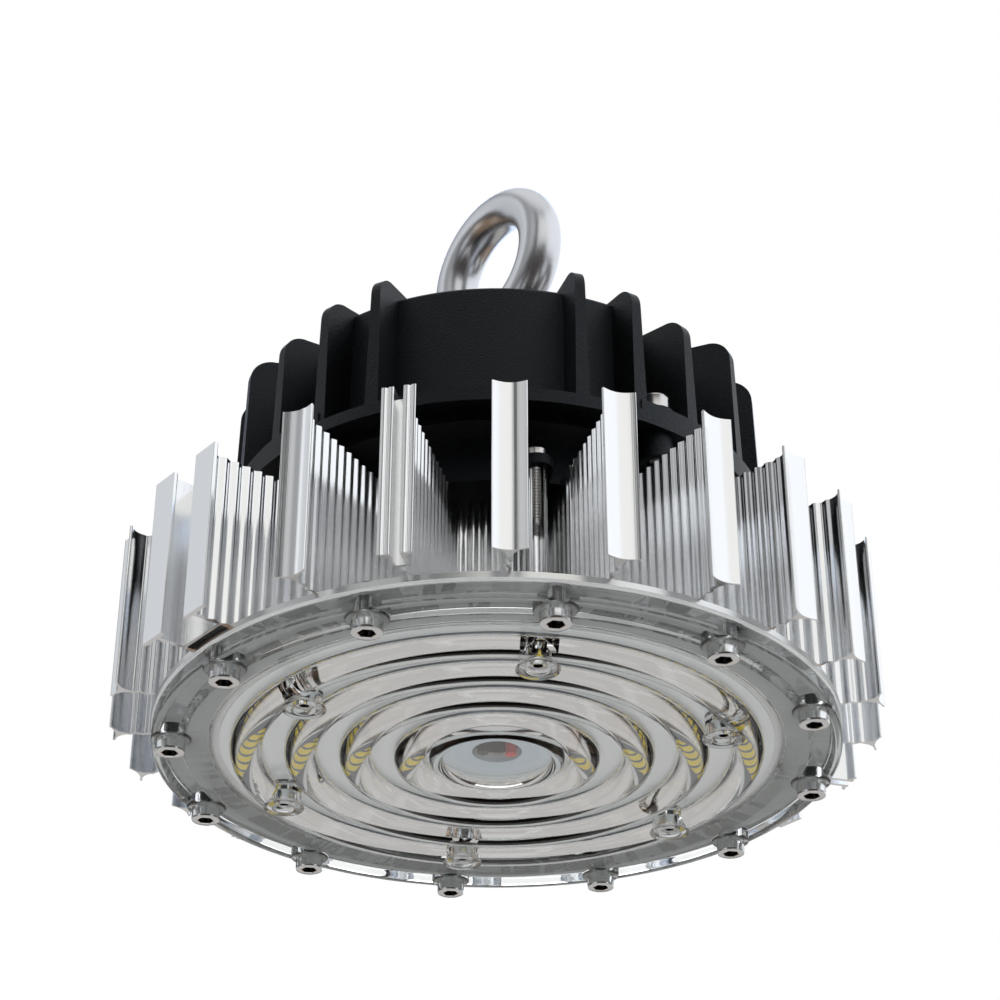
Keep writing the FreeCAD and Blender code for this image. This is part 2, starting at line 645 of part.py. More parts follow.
def driver_housing():
    """Die cast driver housing: flange, drum, ribs, roof webs and eye boss in one piece, open below."""
    body = drum().multiFuse([flange()] + ribs() + roof_webs())
    seat = rod(COVER_RADIUS + SEAT_PLAY, DRIVER_Z, DRUM_INSIDE_Z)
    cuts = [cavity(), seat, rod(EYE_SHANK / 2 + HOLE_PLAY, CEILING_Z, HUB_Z)]
    cuts.append(rod(GLAND_THREAD / 2 + HOLE_PLAY, CEILING_Z, HUB_Z, gland_place()))
    cuts += holes(M6[0] / 2 + HOLE_PLAY, DRIVER_Z, HOUSING_SEAT_Z, housing_places())
    return body.cut(cuts).removeSplitter()


def driver_gasket():
    return tube(COVER_RADIUS, COVER_RADIUS - COVER_GASKET_WIDTH, COVER_TOP, DRUM_INSIDE_Z)


def pillar_places():
    return [polar(PILLAR_CIRCLE, DRIVER_TURN + a) for a in around(4, 45)]


def driver_cover():
    """Bottom cover of the housing, with the pillars that the circuit board stands on."""
    pillars = [rod(PILLAR_RADIUS, DRIVER_Z, CIRCUIT_Z, at) for at in pillar_places()]
    disc = rod(COVER_RADIUS, DRIVER_Z, COVER_TOP).multiFuse(pillars)
    return disc.cut(holes(WIRE_RADIUS, DRIVER_Z, COVER_TOP, wire_places())).removeSplitter()


# ---- driver circuit ----

def transformer():
    at = polar(TRANSFORMER_OFFSET, DRIVER_TURN)
    core = block(CORE_LENGTH, CORE_WIDTH, CORE_HEIGHT, CIRCUIT_TOP, at)
    middle = CIRCUIT_TOP + CORE_HEIGHT / 2
    return core.fuse(rod(WINDING_RADIUS, middle - WINDING_HEIGHT / 2, middle + WINDING_HEIGHT / 2, at))


def capacitors():
    places = [polar(CAPACITOR_CIRCLE, DRIVER_TURN + a) for a in CAPACITOR_AZIMUTHS]
    top = CIRCUIT_TOP + CAPACITOR_HEIGHT
    return Part.makeCompound([rod(CAPACITOR_RADIUS, CIRCUIT_TOP, top, at) for at in places])


def choke():
    at = polar(CHOKE_CIRCLE, DRIVER_TURN + CHOKE_AZIMUTH)
    return tube(CHOKE_RADIUS, CHOKE_BORE, CIRCUIT_TOP, CIRCUIT_TOP + CHOKE_HEIGHT, at)


def heat_spreader():
    """Angle of aluminium sheet that stands on the board beside the transistors."""
    length, thick = SPREADER_LENGTH, SPREADER_THICKNESS
    at = Vector(-SPREADER_OFFSET, -length / 2, CIRCUIT_TOP)
    wall = Part.makeBox(thick, length, SPREADER_HEIGHT, at)
    foot = Part.makeBox(3 * thick, length, thick, at - Vector(2 * thick, 0, 0))
    return turned(wall.fuse(foot).removeSplitter(), DRIVER_TURN)


def power_transistors():
    width, depth, height = TRANSISTOR
    x = -SPREADER_OFFSET + SPREADER_THICKNESS
    ys = (-TRANSISTOR_SPACING / 2, TRANSISTOR_SPACING / 2)
    boxes = [Part.makeBox(depth, width, height, Vector(x, y - width / 2, CIRCUIT_TOP)) for y in ys]
    return turned(Part.makeCompound(boxes), DRIVER_TURN)


# ---- lifting eye and cable gland ----

def eye_bolt():
    """Forged lifting eye: round ring, collar and threaded shank in one piece."""
    centre = Vector(0, 0, EYE_SEAT_Z + EYE_CENTRE)
    ring = Part.makeTorus(EYE_MEAN_RADIUS, EYE_ROD / 2, centre, Vector(0, 1, 0))
    ring.rotate(centre, UP, 90)
    collar_top = EYE_SEAT_Z + COLLAR_HEIGHT
    collar = rod(COLLAR_RADIUS, EYE_SEAT_Z, collar_top)
    neck = Part.makeCone(COLLAR_RADIUS, NECK_RADIUS, NECK_HEIGHT - COLLAR_HEIGHT, Vector(0, 0, collar_top))
    neck = neck.cut(rod(COLLAR_RADIUS, EYE_SEAT_Z + EYE_CENTRE - EYE_MEAN_RADIUS, EYE_SEAT_Z + EYE_CENTRE))
    shank = rod(EYE_SHANK / 2, EYE_SEAT_Z - EYE_SHANK_LENGTH, EYE_SEAT_Z)
    return turned(ring.multiFuse([collar, neck, shank]), EYE_TURN)


def eye_washer():
    return tube(WASHER_RADIUS, EYE_SHANK / 2 + HOLE_PLAY, HUB_Z, EYE_SEAT_Z)


def eye_nut():
    nut = hexagon(NUT_ACROSS, CEILING_Z - NUT_HEIGHT, CEILING_Z)
    return nut.cut(rod(EYE_SHANK / 2 + THREAD_PLAY, CEILING_Z - NUT_HEIGHT, CEILING_Z))


def gland_body():
    at = gland_place()
    top = RIM_Z + GLAND_FLANGE + GLAND_CAP_HEIGHT / 2
    low = CEILING_Z - LOCKNUT_HEIGHT - 1
    body = hexagon(GLAND_ACROSS + 2, RIM_Z, RIM_Z + GLAND_FLANGE, at)
    body = body.multiFuse([rod(GLAND_THREAD / 2, low, RIM_Z, at), rod(GLAND_BODY, RIM_Z, top, at)])
    return body.cut(rod(GLAND_BORE / 2, low, top, at))


def gland_cap():
    """Dome nut over the gland's body, closing on the seal."""
    at = gland_place()
    low, high = RIM_Z + GLAND_FLANGE, RIM_Z + GLAND_FLANGE + GLAND_CAP_HEIGHT
    body_top = low + GLAND_CAP_HEIGHT / 2
    across = 2 * (GLAND_BODY + THREAD_PLAY) + 3
    nut = hexagon(across, low, high, at)
    return nut.cut([rod(GLAND_BODY + THREAD_PLAY, low, body_top, at), rod(GLAND_BORE / 2, low, high, at)])


def gland_seal():
    at = gland_place()
    high = RIM_Z + GLAND_FLANGE + GLAND_CAP_HEIGHT
    return tube(GLAND_BORE / 2, GLAND_SEAL_BORE / 2, high - GLAND_SEAL_HEIGHT, high, at)


def gland_locknut():
    at = gland_place()
    nut = hexagon(GLAND_ACROSS, CEILING_Z - LOCKNUT_HEIGHT, CEILING_Z, at)
    return nut.cut(rod(GLAND_THREAD / 2 + THREAD_PLAY, CEILING_Z - LOCKNUT_HEIGHT, CEILING_Z, at))


def nodes():
    parts = {
        "lens": lens(),
        "lens_gasket": lens_gasket(),
        "lens_screws": screws(M5, SCREW_LENGTH, SEAT_Z, screw_places(), True),
        "cup_screws": screws(M4, CUP_SCREW_LENGTH, CUP_SINK + M4[2], cup_places(), True),
        "led_board": led_board(),
        "base_plate": base_plate(),
        "heat_sink": heat_sink(),
        "adapter_pan": adapter_pan(),
        "pan_screws": screws(M4, PAN_SCREW_LENGTH, PAN_Z + PAN_FLOOR, pan_lug_places(), False),
        "wire_grommet": wire_grommet(),
        "wire_black": wire(wire_places()[0]),
        "wire_red": wire(wire_places()[1]),
        "driver_housing": driver_housing(),
        "housing_screws": screws(M6, HOUSING_SCREW_LENGTH, HOUSING_SEAT_Z, housing_places(), False),
        "driver_gasket": driver_gasket(),
        "driver_cover": driver_cover(),
        "driver_circuit": rod(CIRCUIT_RADIUS, CIRCUIT_Z, CIRCUIT_TOP),
        "transformer": transformer(),
        "capacitors": capacitors(),
        "choke": choke(),
        "heat_spreader": heat_spreader(),
        "power_transistors": power_transistors(),
        "eye_bolt": eye_bolt(),
        "eye_washer": eye_washer(),
        "eye_nut": eye_nut(),
        "gland_body": gland_body(),
        "gland_cap": gland_cap(),
        "gland_seal": gland_seal(),
        "gland_locknut": gland_locknut(),
    }
    for number, radius in enumerate(led_radii(), 1):
        parts[f"led_ring_{number}"] = led_ring(radius)
    return parts


os.makedirs("parts", exist_ok=True)
for name, shape in nodes().items():
    shape.exportStep(f"parts/{name}.step")
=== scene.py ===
"""Looks of the high bay light: its visible surfaces, piece by piece as the lamp is put together."""
import math

import bmesh
import bpy
import numpy as np
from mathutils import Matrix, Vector


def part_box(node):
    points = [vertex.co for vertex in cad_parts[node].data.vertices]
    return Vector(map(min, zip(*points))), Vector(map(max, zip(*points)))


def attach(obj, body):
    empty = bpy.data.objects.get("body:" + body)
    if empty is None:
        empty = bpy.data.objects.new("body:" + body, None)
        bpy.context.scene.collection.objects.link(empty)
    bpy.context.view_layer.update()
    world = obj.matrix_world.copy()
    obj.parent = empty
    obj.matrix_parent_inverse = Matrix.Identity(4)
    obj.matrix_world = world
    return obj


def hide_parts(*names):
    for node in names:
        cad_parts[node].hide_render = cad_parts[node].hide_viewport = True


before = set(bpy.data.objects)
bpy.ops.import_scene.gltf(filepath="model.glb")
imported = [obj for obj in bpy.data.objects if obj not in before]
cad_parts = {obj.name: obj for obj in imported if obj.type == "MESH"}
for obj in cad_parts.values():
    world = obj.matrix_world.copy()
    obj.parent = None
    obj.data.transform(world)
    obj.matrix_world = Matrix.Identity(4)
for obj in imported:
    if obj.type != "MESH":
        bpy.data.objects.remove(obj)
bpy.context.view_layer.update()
MM = 0.001

# ---------------------------------------------------------------------------
# Camera: it stands in front of the lamp and well below it, and looks up at the
# lens, so the fins and the driver are seen from their lower side.
CAMERA_AZIMUTH = -9.17
CAMERA_ELEVATION = -24.18
CAMERA_DISTANCE = 783.8 * MM
CAMERA_TILT = 31.0
CAMERA_PAN = -0.083
CAMERA_LENS = 82.83
CAMERA_SENSOR = 36.0
CAMERA_NEAR = 10 * MM


def polar(radius, azimuth, z=0.0):
    """Point at a radius and an azimuth: azimuth 0 is -Y, and it grows towards +X. Arrays give arrays."""
    a = np.radians(azimuth)
    return np.stack(np.broadcast_arrays(radius * np.sin(a), -radius * np.cos(a), z), -1)


reach = CAMERA_DISTANCE * math.cos(math.radians(CAMERA_ELEVATION))
drop = CAMERA_DISTANCE * math.sin(math.radians(CAMERA_ELEVATION))
camera = bpy.data.objects.new("camera", bpy.data.cameras.new("camera"))
camera.data.lens = CAMERA_LENS
camera.data.sensor_width = CAMERA_SENSOR
camera.data.clip_start = CAMERA_NEAR
camera.location = polar(reach, CAMERA_AZIMUTH, drop)
camera.rotation_euler = (math.radians(90 + CAMERA_TILT), 0, math.radians(CAMERA_AZIMUTH + CAMERA_PAN))
bpy.context.scene.collection.objects.link(camera)
bpy.context.scene.camera = camera
bpy.context.scene.view_settings.view_transform = "Standard"

# ---------------------------------------------------------------------------
# Studio: a pale floor far below the hanging lamp, a white background and four soft
# boxes. Bright and clear parts reflect a dim room with panels of light instead.
FLOOR_DROP = 1.75
FLOOR_REACH = 6.0
FLOOR_COLOUR = (0.86, 0.86, 0.86, 1)
FLOOR_ROUGHNESS = 0.8
BACKGROUND = (1.0, 1.0, 1.0, 1)
ROOM_BELOW = (0.055, 0.045, 0.04, 1)
ROOM_ABOVE = (0.06, 0.062, 0.066, 1)
ROOM_BLEND = 0.1
LAMP_MIDDLE = 0.08

# name, azimuth, elevation, distance, width, height, power
SOFT_BOXES = (
    ("soft_box_right", 75, 30, 1.5, 0.9, 1.2, 9),
    ("soft_box_left", -62, 28, 1.5, 0.9, 1.2, 5),
    ("soft_box_top", 150, 62, 1.6, 1.2, 1.2, 8),
    ("soft_box_low", -15, -62, 1.4, 1.2, 1.2, 6.2),
)

# azimuth, elevation, half width, half height, soft edge, colour
PANELS = (
    (86, 32, 50, 24, 12, (1.04, 1.07, 1.11)),
    (8, 33, 22, 15, 9, (0.95, 0.95, 0.93)),
    (-72, 30, 14, 20, 10, (0.36, 0.37, 0.38)),
    (-46, 34, 8, 14, 8, (0.58, 0.59, 0.59)),
    (-118, 31, 20, 20, 10, (0.66, 0.68, 0.71)),
    (-95, 28, 5, 20, 4, (0.95, 0.97, 1.0)),
    (170, 31, 24, 22, 6, (1.2, 1.4, 1.75)),
    (0, 90, 180, 22, 16, (0.85, 0.86, 0.88)),
    (171, -33, 30, 18, 11, (0.52, 0.505, 0.49)),
    (-100, -34, 22, 14, 8, (0.27, 0.19, 0.13)),
    (100, -38, 20, 14, 8, (0.22, 0.165, 0.125)),
    (120, -24, 8, 12, 3, (0.46, 0.34, 0.26)),
    (-128, -22, 9, 10, 3, (0.42, 0.33, 0.26)),
    (-60, -14, 10, 6, 3, (0.8, 0.84, 0.9)),
    (48, -16, 9, 7, 3, (0.82, 0.86, 0.92)),
    (-12, -56, 18, 14, 8, (0.95, 0.96, 0.97)),
    (-33, -30, 3, 9, 2, (1.1, 1.13, 1.18)),
    (22, -36, 4, 8, 2, (1.1, 1.1, 1.1)),
    (76, -28, 4, 12, 2, (1.05, 1.08, 1.12)),
    (-86, -18, 4, 9, 2, (1.0, 0.88, 0.76)),
    (104, -14, 3, 9, 2, (0.9, 0.94, 1.0)),
)


def node(tree, kind, **inputs):
    """A shader node of a kind: _name sets a property, i3 the input of that number, any other word the input
    of that name, two underscores for a space. Each takes a value, or a socket to be linked."""
    made = tree.nodes.new(kind)
    for key, value in inputs.items():
        if key.startswith("_"):
            setattr(made, key[1:], value)
            continue
        numbered = key[0] == "i" and key[1:].isdigit()
        socket = made.inputs[int(key[1:]) if numbered else key.replace("__", " ")]
        if isinstance(value, bpy.types.NodeSocket):
            tree.links.new(value, socket)
        else:
            socket.default_value = value
    return made


def worked(tree, operation, *values):
    """Result of one sum on numbers or sockets, such as ADD or ARCSINE."""
    made = node(tree, "ShaderNodeMath", _operation=operation, **{f"i{k}": v for k, v in enumerate(values)})
    return made.outputs[0]


def ramp(tree, value, first, last, start, end, shape="LINEAR"):
    """A value that goes from start to end while another goes from first to last, and is level outside."""
    made = node(tree, "ShaderNodeMapRange", _interpolation_type=shape, Value=value, i1=first, i2=last,
                i3=start, i4=end)
    return made.outputs[0]


def blended(tree, factor, base, top):
    """A colour between two others: the base at factor 0 and the top at factor 1."""
    return node(tree, "ShaderNodeMix", _data_type="RGBA", Factor=factor, i6=base, i7=top).outputs[2]


def studio_light(name, azimuth, elevation, distance, width, height, power):
    """A soft box at an azimuth and elevation seen from the lamp's middle, facing it and not reflected."""
    box = bpy.data.lights.new(name, "AREA")
    box.shape = "RECTANGLE"
    box.size = width
    box.size_y = height
    box.energy = power
    made = bpy.data.objects.new(name, box)
    away = Vector(polar(math.cos(math.radians(elevation)), azimuth, math.sin(math.radians(elevation))))
    made.location = Vector((0, 0, LAMP_MIDDLE)) + away * distance
    made.rotation_euler = away.to_track_quat("Z", "Y").to_euler()
    made.visible_glossy = False
    bpy.context.scene.collection.objects.link(made)


def effect(name, inputs, outputs):
    """An empty node group, as (group, its input sockets, its output node)."""
    group = bpy.data.node_groups.new(name, "ShaderNodeTree")
    for label, kind, value in inputs:
        socket = group.interface.new_socket(label, in_out="INPUT", socket_type=kind)
        if value is not None:
            socket.default_value = value
    for label, kind in outputs:
        group.interface.new_socket(label, in_out="OUTPUT", socket_type=kind)
    return group, node(group, "NodeGroupInput").outputs, node(group, "NodeGroupOutput")


def soft_panel():
    """Mask of a panel on the sky: 1 within its half width and half height, falling to 0 over the soft edge.

    The azimuth off its middle is the arctangent of x over -y after a turn; the elevation is the arcsine of z.
    """
    inputs = [("Direction", "NodeSocketVector", None), ("Azimuth", "NodeSocketFloat", 0.0),
              ("Elevation", "NodeSocketFloat", 0.0), ("Half Width", "NodeSocketFloat", 20.0),
              ("Half Height", "NodeSocketFloat", 10.0), ("Soft", "NodeSocketFloat", 6.0)]
    group, given, out = effect("soft_panel", inputs, [("Mask", "NodeSocketFloat")])
    back = worked(group, "MULTIPLY", worked(group, "RADIANS", given["Azimuth"]), -1.0)
    level = node(group, "ShaderNodeVectorRotate", _rotation_type="Z_AXIS", Vector=given["Direction"],
                 Angle=back)
    parts = node(group, "ShaderNodeSeparateXYZ", Vector=level.outputs[0]).outputs
    side = worked(group, "ARCTAN2", parts["X"], worked(group, "MULTIPLY", parts["Y"], -1.0))
    rise = worked(group, "ARCSINE", parts["Z"])
    spans = ((side, 0.0, given["Half Width"]), (rise, given["Elevation"], given["Half Height"]))
    masks = []
    for angle, middle, half in spans:
        off = worked(group, "SUBTRACT", worked(group, "DEGREES", angle), middle)
        edge = worked(group, "ADD", half, given["Soft"])
        masks.append(ramp(group, worked(group, "ABSOLUTE", off), half, edge, 1.0, 0.0, "SMOOTHSTEP"))
    group.links.new(worked(group, "MULTIPLY", *masks), out.inputs["Mask"])
    return group


for soft_box in SOFT_BOXES:
    studio_light(*soft_box)

world = bpy.data.worlds.new("studio")
bpy.context.scene.world = world
world.use_nodes = True
tree = world.node_tree
tree.nodes.clear()
way = node(tree, "ShaderNodeTexCoord").outputs["Generated"]
rise = node(tree, "ShaderNodeSeparateXYZ", Vector=way).outputs["Z"]
room = blended(tree, ramp(tree, rise, -ROOM_BLEND, ROOM_BLEND, 0.0, 1.0), ROOM_BELOW, ROOM_ABOVE)
panel_group = soft_panel()
for azimuth, elevation, half_width, half_height, soft, colour in PANELS:
    panel = node(tree, "ShaderNodeGroup", _node_tree=panel_group, Direction=way, Azimuth=azimuth,
                 Elevation=elevation, Half__Width=half_width, Half__Height=half_height, Soft=soft)
    room = blended(tree, panel.outputs[0], room, (*colour, 1))
reflected = node(tree, "ShaderNodeBackground", Color=room, Strength=1.0)
white = node(tree, "ShaderNodeBackground", Color=BACKGROUND, Strength=1.0)
path = node(tree, "ShaderNodeLightPath").outputs
upward = worked(tree, "GREATER_THAN", rise, 0.0)
through_glass = worked(tree, "MULTIPLY", path["Is Transmission Ray"], upward)
plain = worked(tree, "MAXIMUM", path["Is Camera Ray"], through_glass)
seen = node(tree, "ShaderNodeMixShader", i0=plain, i1=reflected.outputs[0], i2=white.outputs[0])
node(tree, "ShaderNodeOutputWorld", Surface=seen.outputs[0])

ground = bpy.data.objects.new("floor", bpy.data.meshes.new("floor"))
corners = FLOOR_REACH * np.array([(-1, -1, 0), (1, -1, 0), (1, 1, 0), (-1, 1, 0)]) - (0, 0, FLOOR_DROP)
ground.data.from_pydata(corners, [], [(0, 1, 2, 3)])
bpy.context.scene.collection.objects.link(ground)
paint = bpy.data.materials.new("floor_paint")
paint.use_nodes = True
paint.node_tree.nodes["Principled BSDF"].inputs["Base Color"].default_value = FLOOR_COLOUR
paint.node_tree.nodes["Principled BSDF"].inputs["Roughness"].default_value = FLOOR_ROUGHNESS
ground.data.materials.append(paint)
ground.visible_glossy = ground.visible_transmission = False

# ---------------------------------------------------------------------------
# Heat sink: one aluminium extrusion cut to length, with corrugated fins that end
# in dished caps, screw ports between them and two T-slots. Bright natural finish.
FINS = 24
CHANNEL_FINS = (-22.5, 97.5, 217.5)
SLOT_AZIMUTHS = (-60.0, 120.0)
PORTS = 6
TIP = 131.3
HUB = 58.0
HUB_WALL = 5.0
HUB_WAVES = 84
ROOT_SINK = 0.8
WAVE = 4.5
SWING = 0.5
WEB = 1.0
CAP = 11.0
CAP_DISH = 1.6
CAP_LIP = 1.0
CAP_ROOT = 6.5
FLANK_POWER = 1.7
FLANK_LEAN = 0.2
DISH_SHARE = 0.94
DISH_POWER = 1.1
LIP_BAR = 0.45
LIP_RISE = 0.48
LIP_SINK = 0.5
LIP_TURN = (-80, 70)
CHANNEL = 3.0
CHANNEL_DEPTH = 7.5
CHANNEL_WALL = 1.3
CHANNEL_SHOULDER = 2.2
NOTCH_STARTS = 1.3
NOTCH_MIDDLE = 1.9
NOTCH_ENDS = 2.5
NOTCH_DEPTH = 0.7
NOTCH_EASE = 0.5
SLOT_WIDTH = 19.2
SLOT_MOUTH = 12.8
SLOT_SINK = 0.9
SLOT_DEPTH = 10.6
SLOT_LIP = 1.6
SLOT_WALL = 1.2
SLOT_OVERLAP = 0.3
SLOT_EASE = 0.35
PORT_CIRCLE = 79.5
PORT_BORE = 2.1
PORT_WALL = 1.5
PORT_MOUTH = 3.8
PORT_STEM = 2.4
BACK_SHY = 0.02
HUB_SHY = 0.03
WELD = 1e-6
sink_low, sink_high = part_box("heat_sink")


def principled(name, colour, roughness, metallic=0.0, **more):
    """A material with one Principled shader, as (material, node tree, shader)."""
    made = bpy.data.materials.new(name)
    made.use_nodes = True
    shader = made.node_tree.nodes["Principled BSDF"]
    shader.inputs["Base Color"].default_value = (*colour, 1)
    shader.inputs["Roughness"].default_value = roughness
    shader.inputs["Metallic"].default_value = metallic
    for key, value in more.items():
        shader.inputs[key.replace("__", " ")].default_value = value
    return made, made.node_tree, shader


def grain_group():
    """Normal of a fine grain: noise in object space, Scale grains a metre, Depth metres deep, longer along Z
    by Stretch."""
    inputs = [("Scale", "NodeSocketFloat", 1500.0), ("Stretch", "NodeSocketFloat", 1.0),
              ("Depth", "NodeSocketFloat", 0.00005)]
    group, given, out = effect("grain", inputs, [("Normal", "NodeSocketVector")])
    place = node(group, "ShaderNodeTexCoord")
    along = worked(group, "DIVIDE", 1.0, given["Stretch"])
    squeeze = node(group, "ShaderNodeCombineXYZ", X=1.0, Y=1.0, Z=along)
    at = node(group, "ShaderNodeVectorMath", _operation="MULTIPLY", i0=place.outputs["Object"],
              i1=squeeze.outputs[0])
    noise = node(group, "ShaderNodeTexNoise", Vector=at.outputs[0], Scale=given["Scale"], Detail=2.0)
    bump = node(group, "ShaderNodeBump", Height=noise.outputs[0], Distance=given["Depth"], Strength=1.0)
    group.links.new(bump.outputs[0], out.inputs["Normal"])
    return group


GRAIN = grain_group()


def grained(material, scale, depth, stretch=1.0):
    """Adds the grain group to a material's normal."""
    _, tree, shader = material
    grain = node(tree, "ShaderNodeGroup", _node_tree=GRAIN, Scale=scale, Stretch=stretch, Depth=depth)
    tree.links.new(grain.outputs["Normal"], shader.inputs["Normal"])


def quads(rows, cols, close_rows=False):
    """Corner numbers of a grid's quads. Columns close on the first; rows do so where close_rows says it."""
    r, c = np.meshgrid(np.arange(rows - (not close_rows)), np.arange(cols), indexing="ij")
    r2, c2 = (r + 1) % rows, (c + 1) % cols
    return np.stack([r * cols + c, r * cols + c2, r2 * cols + c2, r2 * cols + c], -1).reshape(-1, 4)


def smoothed(mesh, angle):
    """The mesh with smooth faces, and sharp edges where two faces turn by more than an angle."""
    mesh.polygons.foreach_set("use_smooth", np.ones(len(mesh.polygons), bool))
    mesh.set_sharp_from_angle(angle=math.radians(angle))
    return mesh


def mesh_of(name, parts, angle):
    """A mesh from (points, faces) parts: doubles merged, faces outward, smooth up to an angle of edge."""
    points, faces, count = [], [], 0
    for part_points, part_faces in parts:
        flat = np.asarray(part_points, float).reshape(-1, 3)
        points.append(flat)
        faces += [[int(i) + count for i in face] for face in part_faces]
        count += len(flat)
    mesh = bpy.data.meshes.new(name)
    mesh.from_pydata(np.concatenate(points) * MM, [], faces)
    work = bmesh.new()
    work.from_mesh(mesh)
    bmesh.ops.remove_doubles(work, verts=work.verts, dist=WELD)
    bmesh.ops.dissolve_degenerate(work, dist=WELD, edges=work.edges)
    bmesh.ops.recalc_face_normals(work, faces=work.faces)
    work.to_mesh(mesh)
    work.free()
    return smoothed(mesh, angle)


def piece(name, mesh, material, *nodes):
    """An object on the body, with its material, that stands for CAD nodes."""
    made = bpy.data.objects.new(name, mesh)
    bpy.context.scene.collection.objects.link(made)
    mesh.materials.append(material[0])
    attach(made, "root")
    if nodes:
        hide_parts(*nodes)
    return made


def prism(outline, z0, z1):
    """A closed outline of (x, y) pulled up from z0 to z1, with flat ends."""
    n = len(outline)
    rings = np.stack([np.c_[outline, np.full(n, z)] for z in (z0, z1)])
    return rings, [*quads(2, n), range(n), range(n, 2 * n)]


def eased(corners, radius, steps=4, closed=True):
    """Corners rounded off by quadratic curves that start a radius away, or a third of the shorter side."""
    p = np.asarray(corners, float)
    before, after = np.roll(p, 1, 0) - p, np.roll(p, -1, 0) - p
    lengths = np.hypot(*before.T), np.hypot(*after.T)
    cut = np.minimum(radius, np.minimum(*lengths) / 3)
    start = p + before * (cut / lengths[0])[:, None]
    end = p + after * (cut / lengths[1])[:, None]
    if not closed:
        start[0] = end[0] = p[0]
        start[-1] = end[-1] = p[-1]
    t = np.linspace(0, 1, steps + 1)[None, :, None]
    curve = (1 - t) ** 2 * start[:, None] + 2 * t * (1 - t) * p[:, None] + t ** 2 * end[:, None]
    return curve.reshape(-1, 2)


def faced(outline, azimuth):
    """Outline given as (x, radius) for azimuth 0, turned to an azimuth and given as (x, y)."""
    x, r = np.asarray(outline, float).T
    a = math.radians(azimuth)
    return np.stack([x * math.cos(a) + r * math.sin(a), x * math.sin(a) - r * math.cos(a)], -1)


def web_side(side, start, end):
    """One face of a corrugated web: x is half its thickness to a side, less the swing times the cosine of the
    way outward, one full turn a wave."""
    waves = round((end - start) / WAVE)
    s = np.linspace(0, waves, 10 * waves + 1)
    return np.stack([side * WEB / 2 - SWING * np.cos(2 * np.pi * s), start + (end - start) * s / waves], -1)


def trumpet(start, half):
    """Flank of a cap from the web's face out to its lip: with t the way along, x grows as t to the flank's
    power, and the radius as 1 less (1 - t) to that power."""
    t = np.linspace(0, 1, 9)
    x = start[0] + (half - start[0]) * t ** FLANK_POWER
    return np.stack([x, start[1] + (TIP - CAP_LIP - start[1]) * (1 - (1 - t) ** FLANK_POWER)], -1)


def cap_end(half):
    """Right half of a cap's lip and outer face: an arc for the lip, then a dish whose depth goes with 1 less
    the square of x over the half width, to the dish's power."""
    x = np.linspace(half * DISH_SHARE, 0, 9)
    dish = np.stack([x, TIP - CAP_DISH * (1 - (x / half) ** 2) ** DISH_POWER], -1)
    a = np.radians(np.linspace(*LIP_TURN, 6))
    lip = np.stack([half - LIP_BAR + LIP_BAR * np.cos(a), TIP - LIP_SINK + LIP_RISE * np.sin(a)], -1)
    return np.concatenate([lip, dish])


def plain_fin():
    """Outline of a fin: wavy faces out to the cap's root, trumpet flanks, dished end; right, then left."""
    root = TIP - CAP_ROOT
    lean = SWING * FLANK_LEAN
    half = CAP / 2
    right = [web_side(1, HUB - ROOT_SINK, root), trumpet((WEB / 2 - lean, root), half)[1:], cap_end(half)]
    left = [web_side(-1, HUB - ROOT_SINK, root), trumpet((WEB / 2 + lean, root), half)[1:] * (-1, 1),
            cap_end(half)[:-1] * (-1, 1)]
    return np.concatenate([np.concatenate(right), np.concatenate(left)[::-1]])


def channel_fin():
    """Outline of a fin whose cap is split by a screw groove: notched lips and straight walls."""
    floor = TIP - CHANNEL_DEPTH
    root = floor - CHANNEL_WALL
    wall, groove, half = CHANNEL / 2 + CHANNEL_WALL, CHANNEL / 2, CAP / 2
    side = [(wall, root), (wall, TIP - CHANNEL_SHOULDER), (half, TIP - CAP_LIP), (half, TIP),
            (half - NOTCH_STARTS, TIP), (half - NOTCH_MIDDLE, TIP - NOTCH_DEPTH), (half - NOTCH_ENDS, TIP),
            (groove, TIP), (groove, floor)]
    cap = eased(side, NOTCH_EASE, closed=False)
    right = np.concatenate([web_side(1, HUB - ROOT_SINK, root), cap])
    left = np.concatenate([web_side(-1, HUB - ROOT_SINK, root), cap * (-1, 1)])
    return np.concatenate([right, left[::-1]])


def slot_side(side):
    """Outline of one side of a T-slot: a web with a wavy outer face, a straight inner one and a flat lip."""
    inner, face = SLOT_WIDTH / 2, TIP - SLOT_SINK
    middle = inner + SLOT_WALL / 2 + SWING
    foot = math.sqrt(HUB ** 2 - (middle + WEB) ** 2) - ROOT_SINK
    outside = web_side(1, foot, face - SLOT_LIP) + (middle, 0)
    lip = [(SLOT_MOUTH / 2 + CAP, face - SLOT_LIP), (SLOT_MOUTH / 2 + CAP, face), (SLOT_MOUTH / 2, face),
           (SLOT_MOUTH / 2, face - SLOT_LIP)]
    rest = [(inner, face - SLOT_LIP), (inner, foot)]
    return np.concatenate([outside, eased(lip, SLOT_EASE), rest]) * (side, 1)


def slot_back():
    """Outline of the plain wall across the back of a T-slot."""
    x, back = SLOT_WIDTH / 2 + SLOT_OVERLAP, TIP - SLOT_SINK - SLOT_DEPTH
    return [(-x, back - SLOT_WALL), (x, back - SLOT_WALL), (x, back), (-x, back)]


